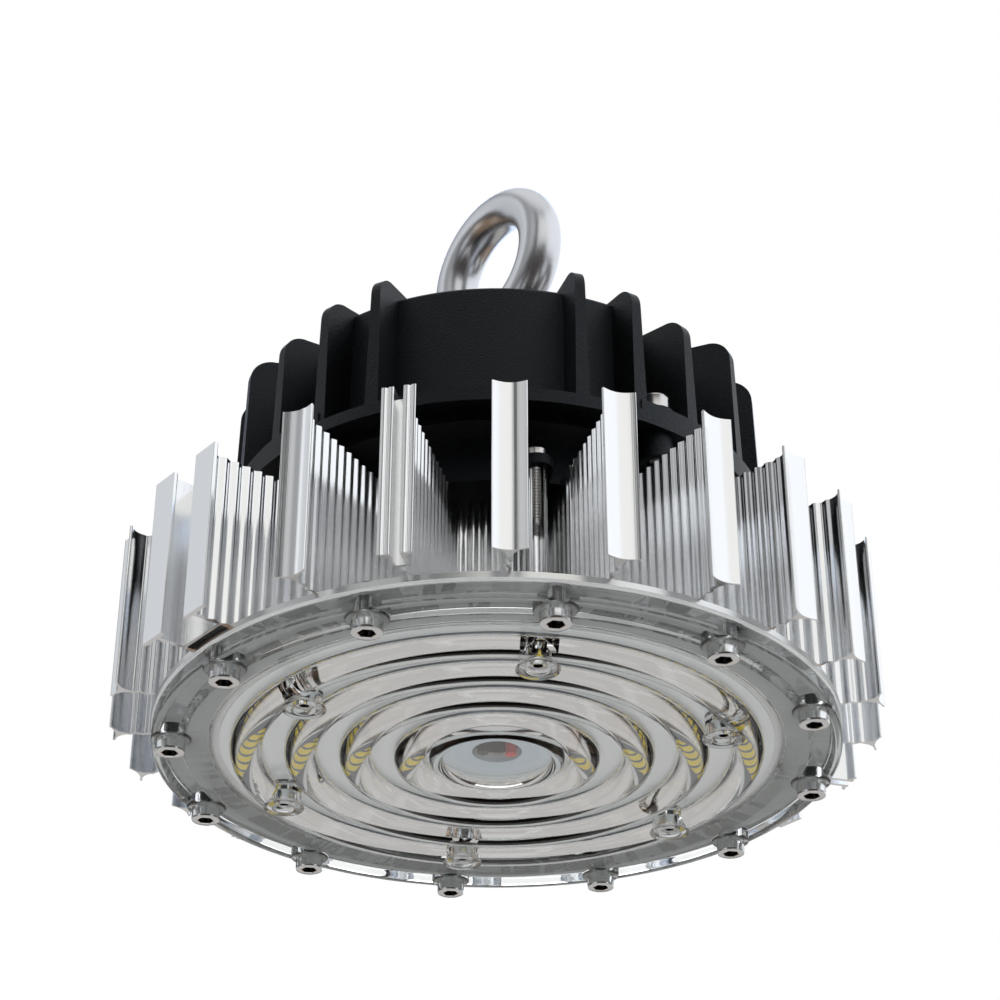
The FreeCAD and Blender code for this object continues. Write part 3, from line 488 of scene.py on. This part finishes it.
def port():
    """Outline of a screw port on its stem: an outer and an inner arc round the bore, open outwards."""
    outer = PORT_BORE + PORT_WALL
    stem, mouth = math.asin(PORT_STEM / 2 / outer), math.asin(PORT_MOUTH / 2 / outer)
    mouth_in = math.asin(PORT_MOUTH / 2 / PORT_BORE)
    out_way = np.linspace(math.pi - stem, mouth, 18)
    in_way = np.linspace(mouth_in, math.pi, 14)
    foot = math.sqrt(HUB ** 2 - (PORT_STEM / 2) ** 2) - ROOT_SINK
    outside = np.stack([outer * np.sin(out_way), PORT_CIRCLE + outer * np.cos(out_way)], -1)
    inside = np.stack([PORT_BORE * np.sin(in_way), PORT_CIRCLE + PORT_BORE * np.cos(in_way)], -1)
    half = np.concatenate([[(PORT_STEM / 2, foot)], outside, inside])
    return np.concatenate([half, half[-2::-1] * (-1, 1)])


def heat_sink():
    """The extrusion: fins on equal azimuths but where a slot takes two, slots, ports, and the hub. Its outer
    radius is the hub's less the swing, plus the swing times the cosine of the azimuth times its waves."""
    z0, z1 = sink_low.z / MM, sink_high.z / MM
    pitch = 360 / FINS
    parts = []
    taken = [(s + side * pitch / 2) % 360 for s in SLOT_AZIMUTHS for side in (-1, 1)]
    for azimuth in [pitch / 2 + pitch * k for k in range(FINS)]:
        if azimuth in taken:
            continue
        outline = channel_fin() if azimuth in [c % 360 for c in CHANNEL_FINS] else plain_fin()
        parts.append(prism(faced(outline, azimuth), z0, z1))
    for azimuth in SLOT_AZIMUTHS:
        parts += [prism(faced(slot_side(side), azimuth), z0, z1) for side in (-1, 1)]
        parts.append(prism(faced(slot_back(), azimuth), z0 + BACK_SHY, z1 - BACK_SHY))
    parts += [prism(faced(port(), 360 / PORTS * k), z0, z1) for k in range(PORTS)]
    a = np.linspace(0, 360, 10 * HUB_WAVES, endpoint=False)
    outside = HUB - SWING + SWING * np.cos(np.radians(a * HUB_WAVES))
    inside = np.full(a.size, HUB - HUB_WALL)
    low, high = z0 + HUB_SHY, z1 - HUB_SHY
    section = ((outside, low), (outside, high), (inside, high), (inside, low))
    ring = np.stack([polar(r, a, z) for r, z in section])
    parts.append((ring, quads(4, a.size, close_rows=True)))
    return mesh_of("heat_sink_extrusion", parts, 30)


aluminium = principled("extruded_aluminium", (0.9, 0.905, 0.91), 0.17, 1.0)
grained(aluminium, 4200.0, 0.00002, stretch=600.0)
piece("heat_sink_extrusion", heat_sink(), aluminium, "heat_sink")

# ---------------------------------------------------------------------------
# Base plate and gasket: an aluminium disc whose rim is turned bright, and a flat
# silicone ring that seals the lens to it.
TURNED_FROM = 116.7
TURNED_FULL = 116.9
MILL_METALLIC = 0.2


def dress(material, *nodes):
    """Gives whole CAD nodes a material in place of their own."""
    for name in nodes:
        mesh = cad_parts[name].data
        mesh.materials.clear()
        mesh.materials.append(material[0])


def axis_distance(tree):
    """Distance from the lamp's axis in millimetres: the length of x and y."""
    place = node(tree, "ShaderNodeTexCoord")
    flat = node(tree, "ShaderNodeVectorMath", _operation="MULTIPLY", i0=place.outputs["Object"],
                i1=(1 / MM, 1 / MM, 0.0))
    return node(tree, "ShaderNodeVectorMath", _operation="LENGTH", i0=flat.outputs[0]).outputs[1]


mill = principled("mill_aluminium", (0.78, 0.78, 0.77), 0.3, MILL_METALLIC)
grained(mill, 900.0, 0.00002)
tree, shader = mill[1:]
turned_rim = ramp(tree, axis_distance(tree), TURNED_FROM, TURNED_FULL, MILL_METALLIC, 1.0)
tree.links.new(turned_rim, shader.inputs["Metallic"])
dress(mill, "base_plate")
dress(principled("silicone", (0.78, 0.78, 0.76), 0.6), "lens_gasket")

# ---------------------------------------------------------------------------
# LED board: an aluminium-backed disc with white solder mask, greyer at its middle,
# a painted shade band along each LED circle, and four circles of small packages with a yellow phosphor
# window.
LED_RINGS = ((29.7, 31), (48.1, 50), (66.5, 69), (84.9, 87))
RING_STEP = 18.4
LED_SIZE = (3.2, 5.3)
LED_HEIGHT = 0.7
LED_EASE = 0.12
LED_RECESS = 0.04
WINDOW_SIZE = (3.1, 4.15)
WINDOW_HEIGHT = 0.3
WINDOW_EASE = 0.03
BARE_WITHIN = 14.0
WHITE_BEYOND = 24.0
# Painted shade: a dark band along each LED circle, given by its half width, where it has faded out and its
# colour, stands in for the shade round and between the packages.
GAP_SHADE_HALF = 2.9
GAP_SHADE_END = 3.3
BARE_MASK = (0.62, 0.7, 0.76, 1)
WHITE_MASK = (0.9, 0.9, 0.89, 1)
GAP_SHADE = (0.13, 0.14, 0.16, 1)
board_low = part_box("led_board")[0].z / MM

board = principled("white_solder_mask", (0.84, 0.86, 0.88), 0.35)
tree, shader = board[1:]
away = axis_distance(tree)
fade = ramp(tree, away, BARE_WITHIN, WHITE_BEYOND, 0.0, 1.0)
nearest = worked(tree, "PINGPONG", worked(tree, "SUBTRACT", away, LED_RINGS[0][0]), RING_STEP / 2)
# Painted shade: the band darkens the board along each circle of packages.
gap_shade = worked(tree, "MULTIPLY", ramp(tree, nearest, GAP_SHADE_HALF, GAP_SHADE_END, 1.0, 0.0), fade)
colour = blended(tree, gap_shade, blended(tree, fade, BARE_MASK, WHITE_MASK), GAP_SHADE)
tree.links.new(colour, shader.inputs["Base Color"])
dress(board, "led_board")


def packages(size, z_low, z_high, ease):
    """Small boxes on every LED circle, between two heights: 12 corners each, with the lowest drawn in by the
    ease, turned with the azimuth about the lamp's axis."""
    parts = []
    sides, fronts = np.array([(-1, -1), (1, -1), (1, 1), (-1, 1)]).T
    levels = ((z_high, 0.0), (z_low + ease, 0.0), (z_low, ease))
    for radius, count in LED_RINGS:
        r = np.concatenate([radius + sides * (size[0] / 2 - cut) for _, cut in levels])
        t = np.concatenate([fronts * (size[1] / 2 - cut) for _, cut in levels])
        z = np.repeat([level for level, _ in levels], 4)
        a = np.radians(np.arange(count) * 360 / count)[:, None]
        x = r * np.sin(a) + t * np.cos(a)
        y = -r * np.cos(a) + t * np.sin(a)
        one = np.concatenate([quads(3, 4), [[0, 1, 2, 3], [8, 9, 10, 11]]])
        faces = (one[None] + 12 * np.arange(count)[:, None, None]).reshape(-1, 4)
        parts.append((np.stack([x, y, np.broadcast_to(z, x.shape)], -1), faces))
    return parts


# Painted shade: the package bodies are a dark blue-grey that stands in for the shade on their sides and in
# the gaps between them.
led_body_painted_shade = principled("led_package", (0.16, 0.18, 0.22), 0.35)
led_glow = principled("led_phosphor", (0.85, 0.66, 0.08), 0.45)
low = board_low - LED_HEIGHT
bodies = mesh_of("led_packages", packages(LED_SIZE, low + LED_RECESS, board_low, LED_EASE), 30)
windows = mesh_of("led_phosphors", packages(WINDOW_SIZE, low, low + WINDOW_HEIGHT, WINDOW_EASE), 30)
piece("led_packages", bodies, led_body_painted_shade, "led_ring_1", "led_ring_2", "led_ring_3", "led_ring_4")
piece("led_phosphors", windows, led_glow)

# ---------------------------------------------------------------------------
# Lens: one clear polycarbonate moulding with a half-round ring over each LED
# circle, a rounded rim with twelve screw bosses, and six deep screw cups.
LENS_R = 116.6
lens_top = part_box("lens")[1].z / MM
WEB_UNDER = lens_top - 4.4
WEB_TOP = WEB_UNDER + 2.2
WEB_ENDS = 93.0
GROOVE_HALF = 2.7
GROOVE_FLOOR_HALF = 2.6
GROOVE_FLOOR = WEB_UNDER + 0.6
GROOVE_EASE = 0.5
DOME = 11.2
DOME_RISE = 4.7
RECESS_INNER = 94.0
RECESS_R = 98.0
RECESS_EASE = 0.5
LAND_R = 106.0
RIM_UNDER = lens_top - 5.7
RIM_WALL = 2.8
VALLEY_UNDER = lens_top - 2.7
VALLEY = (3.8, 9.8)
BEAD = (10.8, 13.8)
BEAD_FOOT = 95.8
RIM_EASE = 1.3
CENTRE_RING = 20.7
CENTRE_BAR = 2.4
CENTRE_SQUASH = 1.15
SCREW_CIRCLE = 110.0
RIM_SCREWS = 12
RIM_BORE = 2.75
BOSS = 7.0
BOSS_TOP = lens_top - 0.3
BOSS_EASE = 0.9
SEAT = 5.0
BOSS_UNDER = SEAT - 0.6
BOSS_HOLLOW = 4.5
HOLLOW_EASE = 0.1
CUP = 5.9
CUP_TOP = board_low - 0.02
CUP_NECK = 3.4
CUP_WAIST = 1.4
CUP_LIP_R = 7.1
CUP_LIP = 0.5
CUP_EASE = 0.6
CUP_MOUTH = 3.9
CUP_WELL = 3.8
WELL_FROM = 1.5
CUP_SEAT = 5.5
CUP_BORE = 2.25
BORE_SPAN = (-1.0, 13.0)
LIMIT_SPAN = (-2.0, 14.0)
POLE = 0.001
AXIS = (0.0, 0.0, 0.0)
screw_places = polar(SCREW_CIRCLE, np.arange(RIM_SCREWS) * 360 / RIM_SCREWS)
cup_places = polar(PORT_CIRCLE, np.arange(PORTS) * 360 / PORTS)


def arc(centre, radius, first, last, steps, squash=1.0):
    """Arc in the (radius, height) plane: the cosine and sine of the angle, the height scaled by squash."""
    a = np.radians(np.linspace(first, last, steps))
    return np.stack([centre[0] + radius * np.cos(a), centre[1] + radius * squash * np.sin(a)], -1)


def revolved(profile, count, closed=True):
    """A profile of (radius, height) turned round the axis; rows follow the profile, columns the azimuth."""
    a = np.arange(count) * 360 / count
    rows = np.stack([polar(r, a, z) for r, z in np.asarray(profile, float)])
    return rows, quads(len(profile), count, close_rows=closed)


def lens_profile():
    """Section of the lens: its upper face with a flat-floored groove over each circle of LEDs, then the rim,
    valley and bead, an arc for each ring below, and a smaller one round the wires."""
    grooves = [eased([(radius - GROOVE_HALF, WEB_TOP), (radius - GROOVE_FLOOR_HALF, GROOVE_FLOOR),
                      (radius + GROOVE_FLOOR_HALF, GROOVE_FLOOR), (radius + GROOVE_HALF, WEB_TOP)],
                     GROOVE_EASE, closed=False) for radius, _ in LED_RINGS]
    recess = eased([(RECESS_INNER, WEB_TOP), (RECESS_R, WEB_TOP), (RECESS_R, lens_top), (LAND_R, lens_top)],
                   RECESS_EASE, 3, closed=False)[1:-1]
    rim = eased([(LAND_R, lens_top), (LENS_R, lens_top), (LENS_R, RIM_UNDER), (LENS_R - RIM_WALL, RIM_UNDER),
                 (LENS_R - VALLEY[0], VALLEY_UNDER), (LENS_R - VALLEY[1], VALLEY_UNDER),
                 (LENS_R - BEAD[0], RIM_UNDER), (LENS_R - BEAD[1], RIM_UNDER), (BEAD_FOOT, WEB_UNDER),
                 (WEB_ENDS, WEB_UNDER)], RIM_EASE, 6, closed=False)[1:-1]
    domes = [arc((radius, WEB_UNDER), DOME / 2, 360, 180, 25, DOME_RISE / (DOME / 2))
             for radius, _ in LED_RINGS[::-1]]
    centre = arc((CENTRE_RING, WEB_UNDER), CENTRE_BAR, 360, 180, 17, CENTRE_SQUASH)
    return np.concatenate([[(POLE, WEB_TOP)], *grooves, recess, rim, *domes, centre, [(POLE, WEB_UNDER)]])


def lathe_piece(at, profile, count):
    """A closed turned body round a place, its profile from axis to axis."""
    rows, faces = revolved(profile, count, closed=False)
    caps = [range(count), range((len(profile) - 1) * count, len(profile) * count)]
    return rows + at, [*faces, *caps]


def plug(radius, low, high):
    """Profile of a plain cylinder."""
    return np.array([(POLE, low), (radius, low), (radius, high), (POLE, high)])


def joined(base, cutter, operation):
    """The base mesh with another added, taken away or kept in common, as a new mesh."""
    holder = bpy.data.objects.new("holder", base)
    tool = bpy.data.objects.new("tool", cutter)
    for made in (holder, tool):
        bpy.context.scene.collection.objects.link(made)
    change = holder.modifiers.new("change", "BOOLEAN")
    change.operation, change.solver, change.object = operation, "MANIFOLD", tool
    result = bpy.data.meshes.new_from_object(holder.evaluated_get(bpy.context.evaluated_depsgraph_get()))
    for made in (holder, tool):
        bpy.data.objects.remove(made)
    result.materials.clear()
    return result


def lens():
    """The moulding: the turned body and its bosses and cups, joined, less the screws' bores and seats."""
    body = mesh_of("lens_body", [revolved(lens_profile(), 360)], 40)
    boss = np.concatenate([[(POLE, BOSS_TOP), (BOSS, BOSS_TOP)],
                           arc((BOSS - BOSS_EASE, BOSS_UNDER + BOSS_EASE), BOSS_EASE, 0, -90, 6),
                           [(BOSS_HOLLOW + HOLLOW_EASE, BOSS_UNDER), (BOSS_HOLLOW, BOSS_UNDER + HOLLOW_EASE),
                            (BOSS_HOLLOW, SEAT), (POLE, SEAT)]])
    lip = eased([(CUP, CUP_NECK), (CUP, CUP_WAIST), (CUP_LIP_R, CUP_LIP), (CUP_LIP_R, 0.0), (CUP_MOUTH, 0.0),
                 (CUP_WELL, WELL_FROM)], CUP_EASE, closed=False)
    cup = np.concatenate([[(POLE, CUP_TOP), (CUP, CUP_TOP), (CUP, CUP_NECK)], lip,
                          [(CUP_WELL, CUP_SEAT), (POLE, CUP_SEAT)]])
    posts = mesh_of("posts", [lathe_piece(at, boss, 48) for at in screw_places] +
                    [lathe_piece(at, cup, 48) for at in cup_places], 40)
    bore = plug(1.0, *BORE_SPAN)
    bores = mesh_of("bores", [lathe_piece(at, bore * (RIM_BORE, 1), 32) for at in screw_places] +
                    [lathe_piece(at, bore * (CUP_BORE, 1), 32) for at in cup_places], 40)
    well = plug(CUP_WELL, BORE_SPAN[0], CUP_SEAT)
    seats = mesh_of("seats", [lathe_piece(at, well, 40) for at in cup_places], 40)
    limit = mesh_of("limit", [lathe_piece(AXIS, plug(LENS_R, *LIMIT_SPAN), 360)], 40)
    posts = joined(posts, limit, "INTERSECT")
    whole = joined(joined(joined(body, posts, "UNION"), bores, "DIFFERENCE"), seats, "DIFFERENCE")
    return smoothed(whole, 38)


clear = principled("clear_polycarbonate", (0.97, 0.985, 0.99), 0.0, IOR=1.585, Transmission__Weight=1.0)
tree, shader = clear[1:]
path = node(tree, "ShaderNodeLightPath")
through = node(tree, "ShaderNodeBsdfTransparent", Color=(0.93, 0.95, 0.96, 1))
choice = node(tree, "ShaderNodeMixShader", i0=path.outputs["Is Shadow Ray"], i1=shader.outputs[0],
              i2=through.outputs[0])
tree.links.new(choice.outputs[0], tree.nodes["Material Output"].inputs["Surface"])
piece("lens_moulding", lens(), clear, "lens")

# ---------------------------------------------------------------------------
# Lens screws: zinc plated socket head cap screws, twelve through the rim and six
# in the cups, each with a knurled head, an eased edge and a six-sided socket.

# shank, head, head's height, socket's width
RIM_SCREW = (5.0, 10.0, 5.0, 5.0)
CUP_SCREW = (4.0, 7.0, 4.0, 3.0)
RIM_SCREW_END = 17.0
CUP_SCREW_END = 25.5
SOCKET_DEPTH = 0.7
SOCKET_CONE = 0.5
SOCKET_TAPER = 0.98
SOCKET_FLARE = 0.12
SOCKET_MARGIN = 0.05
KNURL = 0.02
EDGE = 0.15
FACE_EASE = 0.55
KNURL_FROM = 0.6
KNURL_FULL = 0.7
KNURL_ENDS = 0.5
UNDERCUT = 0.1
THREAD_DEPTH = 0.45
THREAD_FROM = 1.0
THREAD_MARGINS = 2.0
TIP_EASE = 0.5
SCREW_SIDES = 72


def cap_screw(at, size, seat, end, up, pitch=0.0):
    """A cap screw: rows of (radius, height) round its axis, up being the way its head points. The socket's
    radius is half its width over the cosine of the angle off a flat. A thread has two rows a pitch."""
    shank, head, height, across = size
    azimuths = np.arange(SCREW_SIDES) * 360 / SCREW_SIDES
    six = across / 2 / np.cos((np.radians(azimuths) + math.pi / 6) % (math.pi / 3) - math.pi / 6)
    knurled = head / 2 * (1 - KNURL * (np.arange(SCREW_SIDES) % 2))
    face = seat + up * height
    deep = face - up * height * SOCKET_DEPTH
    wide = head / 2
    rows = [(POLE, deep - up * SOCKET_CONE), (six * SOCKET_TAPER, deep), (six, face - up * EDGE),
            (six + SOCKET_FLARE, face), (wide - FACE_EASE, face), (wide - EDGE, face - up * EDGE),
            (wide, face - up * KNURL_FROM), (knurled, face - up * KNURL_FULL),
            (knurled, seat + up * KNURL_ENDS), (wide - UNDERCUT, seat), (shank / 2, seat)]
    turns = int((abs(seat - end) - THREAD_MARGINS) / pitch * 2) if pitch else 0
    rows += [(shank / 2 - THREAD_DEPTH * (k % 2), seat - up * (THREAD_FROM + k * pitch / 2))
             for k in range(turns)]
    rows += [(shank / 2, end + up * TIP_EASE), (shank / 2 - TIP_EASE, end), (POLE, end)]
    points = np.stack([polar(r, azimuths, z) for r, z in rows])
    return points + at, quads(len(rows), SCREW_SIDES)


def paint_socket_shade(made, places, size):
    """Paints shade into each socket: gives the faces in it the dark second material, those whose middle is
    nearer to a screw's axis than half the socket's width and a margin."""
    made.data.materials.append(painted_shade[0])
    centres = np.empty(len(made.data.polygons) * 3)
    made.data.polygons.foreach_get("center", centres)
    centres = centres.reshape(-1, 3) / MM
    near = np.full(len(centres), False)
    for at in places:
        near |= np.hypot(centres[:, 0] - at[0], centres[:, 1] - at[1]) < size[3] / 2 + SOCKET_MARGIN
    made.data.polygons.foreach_set("material_index", near.astype(np.int32))


zinc = principled("zinc_plated", (0.84, 0.85, 0.85), 0.2, 1.0)
grained(zinc, 2500.0, 0.00001)
# Painted shade: a near-black metal on the socket faces stands in for the shade deep in each socket.
painted_shade = principled("painted_socket_shade", (0.05, 0.05, 0.052), 0.4, 1.0)
rim_parts = [cap_screw(at, RIM_SCREW, SEAT, RIM_SCREW_END, -1) for at in screw_places]
rim_screws = piece("rim_screws", mesh_of("rim_screws", rim_parts, 30), zinc, "lens_screws")
paint_socket_shade(rim_screws, screw_places, RIM_SCREW)
cup_parts = [cap_screw(at, CUP_SCREW, CUP_SEAT, CUP_SCREW_END, -1) for at in cup_places]
cup_screws = piece("ring_screws", mesh_of("ring_screws", cup_parts, 30), zinc, "cup_screws")
paint_socket_shade(cup_screws, cup_places, CUP_SCREW)

# ---------------------------------------------------------------------------
# Wiring: a red and a black lead, each in a soft plastic sleeve, that come down
# through a rubber grommet in the pan's floor.
dress(principled("black_sleeve", (0.012, 0.012, 0.012), 0.4), "wire_black")
dress(principled("red_sleeve", (0.62, 0.03, 0.02), 0.4), "wire_red")
rubber = principled("black_rubber", (0.02, 0.02, 0.02), 0.6)
dress(rubber, "wire_grommet")

# ---------------------------------------------------------------------------
# Adapter pan: a powder coated aluminium casting that carries the driver. Three
# stainless screws hold its lugs to the heat sink's open ports, threads in sight.
PAN_SCREWS = 3
THREAD_PITCH = 1.2

cast = principled("black_powder_coat", (0.002, 0.0022, 0.0026), 0.36, Specular__IOR__Level=0.27,
                  Specular__Tint=(0.78, 0.9, 1.0, 1))
grained(cast, 2000.0, 0.0003)
dress(cast, "adapter_pan")
stainless = principled("stainless", (0.68, 0.67, 0.65), 0.25, 1.0)
lug_places = polar(PORT_CIRCLE, np.arange(PAN_SCREWS) * 360 / PAN_SCREWS)
pan_low, pan_high = [corner.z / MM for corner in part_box("pan_screws")]
pan_seat = pan_high - CUP_SCREW[2]
pan_parts = [cap_screw(at, CUP_SCREW, pan_seat, pan_low, 1, THREAD_PITCH) for at in lug_places]
piece("pan_screws_threaded", mesh_of("pan_screws_threaded", pan_parts, 30), stainless, "pan_screws")

# ---------------------------------------------------------------------------
# Driver: its cover, circuit board and components, shut inside the housing over a
# rubber gasket.
plate_metal = principled("turned_aluminium", (0.84, 0.845, 0.85), 0.2, 1.0)
grained(plate_metal, 3000.0, 0.00001)
dress(rubber, "driver_gasket")
dress(principled("dark_anodised", (0.25, 0.25, 0.26), 0.4, 1.0), "driver_cover")
dress(principled("green_mask", (0.03, 0.16, 0.06), 0.4), "driver_circuit")
dress(principled("yellow_tape", (0.7, 0.5, 0.08), 0.5), "transformer")
dress(principled("shrink_sleeve", (0.02, 0.02, 0.04), 0.25), "capacitors")
dress(principled("ferrite", (0.08, 0.2, 0.1), 0.45), "choke")
dress(plate_metal, "heat_spreader")
dress(principled("transistor_resin", (0.03, 0.03, 0.03), 0.5), "power_transistors")

# ---------------------------------------------------------------------------
# Driver housing: a die casting in the pan's black powder coat, held by a cap screw
# down through its flange into each of the pan's four ears.
FLANGE_SCREW = (6.0, 10.0, 6.0, 5.0)
FLANGE_SCREW_CIRCLE = 88.0
EAR_SPREAD = 41.1
EAR_TURN = -13.5

dress(cast, "driver_housing")
ears = np.array([EAR_SPREAD, 180 - EAR_SPREAD, 180 + EAR_SPREAD, 360 - EAR_SPREAD])
flange_places = polar(FLANGE_SCREW_CIRCLE, ears + EAR_TURN)
flange_low, flange_high = [corner.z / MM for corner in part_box("housing_screws")]
flange_seat = flange_high - FLANGE_SCREW[2]
flange_parts = [cap_screw(at, FLANGE_SCREW, flange_seat, flange_low, 1) for at in flange_places]
piece("flange_screws", mesh_of("flange_screws", flange_parts, 30), stainless, "housing_screws")

# ---------------------------------------------------------------------------
# Lifting eye: a plated steel forging, its shank down through the roof, with a
# plated washer above and nut below.
EYE_MIDDLE = 212.1
EYE_MEAN = 25.5
EYE_BAR = 8.0
EYE_TURN = 30.0
COLLAR_R = 17.5
COLLAR_EASE = 0.6
COLLAR_HEIGHT = 4.0
FLARE_REACH = 9.3
FLARE_RISE = 10
NECK_TOP = 14.5
SHANK_R = 8.0
SHANK_EASE = 0.8


def eye_bolt():
    """The eye: a ring, its reach the mean radius plus the bar times a cosine, swept round its middle. The
    neck flares as a quarter of an ellipse into the round collar."""
    u = np.radians(np.arange(180) * 2.0)[:, None]
    v = np.radians(np.arange(60) * 6.0)[None]
    reach = EYE_MEAN + EYE_BAR * np.cos(v)
    along, across, rise = reach * np.cos(u), EYE_BAR * np.sin(v) + 0 * u, reach * np.sin(u)
    t = math.radians(EYE_TURN)
    x, y = across * math.cos(t) - along * math.sin(t), across * math.sin(t) + along * math.cos(t)
    ring = np.stack([x, y, EYE_MIDDLE + rise], -1)
    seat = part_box("eye_washer")[1].z / MM
    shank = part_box("eye_bolt")[0].z / MM
    w = np.radians(np.arange(10, 91, 10))
    flare = np.stack([COLLAR_R - FLARE_REACH * np.sin(w), seat + NECK_TOP - FLARE_RISE * np.cos(w)], -1)
    foot = [(POLE, shank), (SHANK_R - SHANK_EASE, shank), (SHANK_R, shank + SHANK_EASE), (SHANK_R, seat),
            (COLLAR_R - COLLAR_EASE, seat), (COLLAR_R, seat + COLLAR_EASE), (COLLAR_R, seat + COLLAR_HEIGHT)]
    neck = np.concatenate([foot, flare, [(POLE, seat + NECK_TOP)]])
    bar = mesh_of("eye_ring", [(ring, quads(180, 60, close_rows=True))], 60)
    stem = mesh_of("eye_stem", [lathe_piece(AXIS, neck, 96)], 40)
    return smoothed(joined(bar, stem, "UNION"), 50)


forged = principled("plated_forging", (0.7, 0.71, 0.73), 0.29, 1.0)
grained(forged, 700.0, 0.00003)
piece("eye_forging", eye_bolt(), forged, "eye_bolt")
dress(zinc, "eye_washer", "eye_nut")

# ---------------------------------------------------------------------------
# Cable gland: a moulded nylon body with its cap and locknut, screwed into the
# roof, and a rubber seal in it.
dress(principled("black_nylon", (0.015, 0.015, 0.015), 0.45), "gland_body", "gland_cap", "gland_locknut")
dress(rubber, "gland_seal")
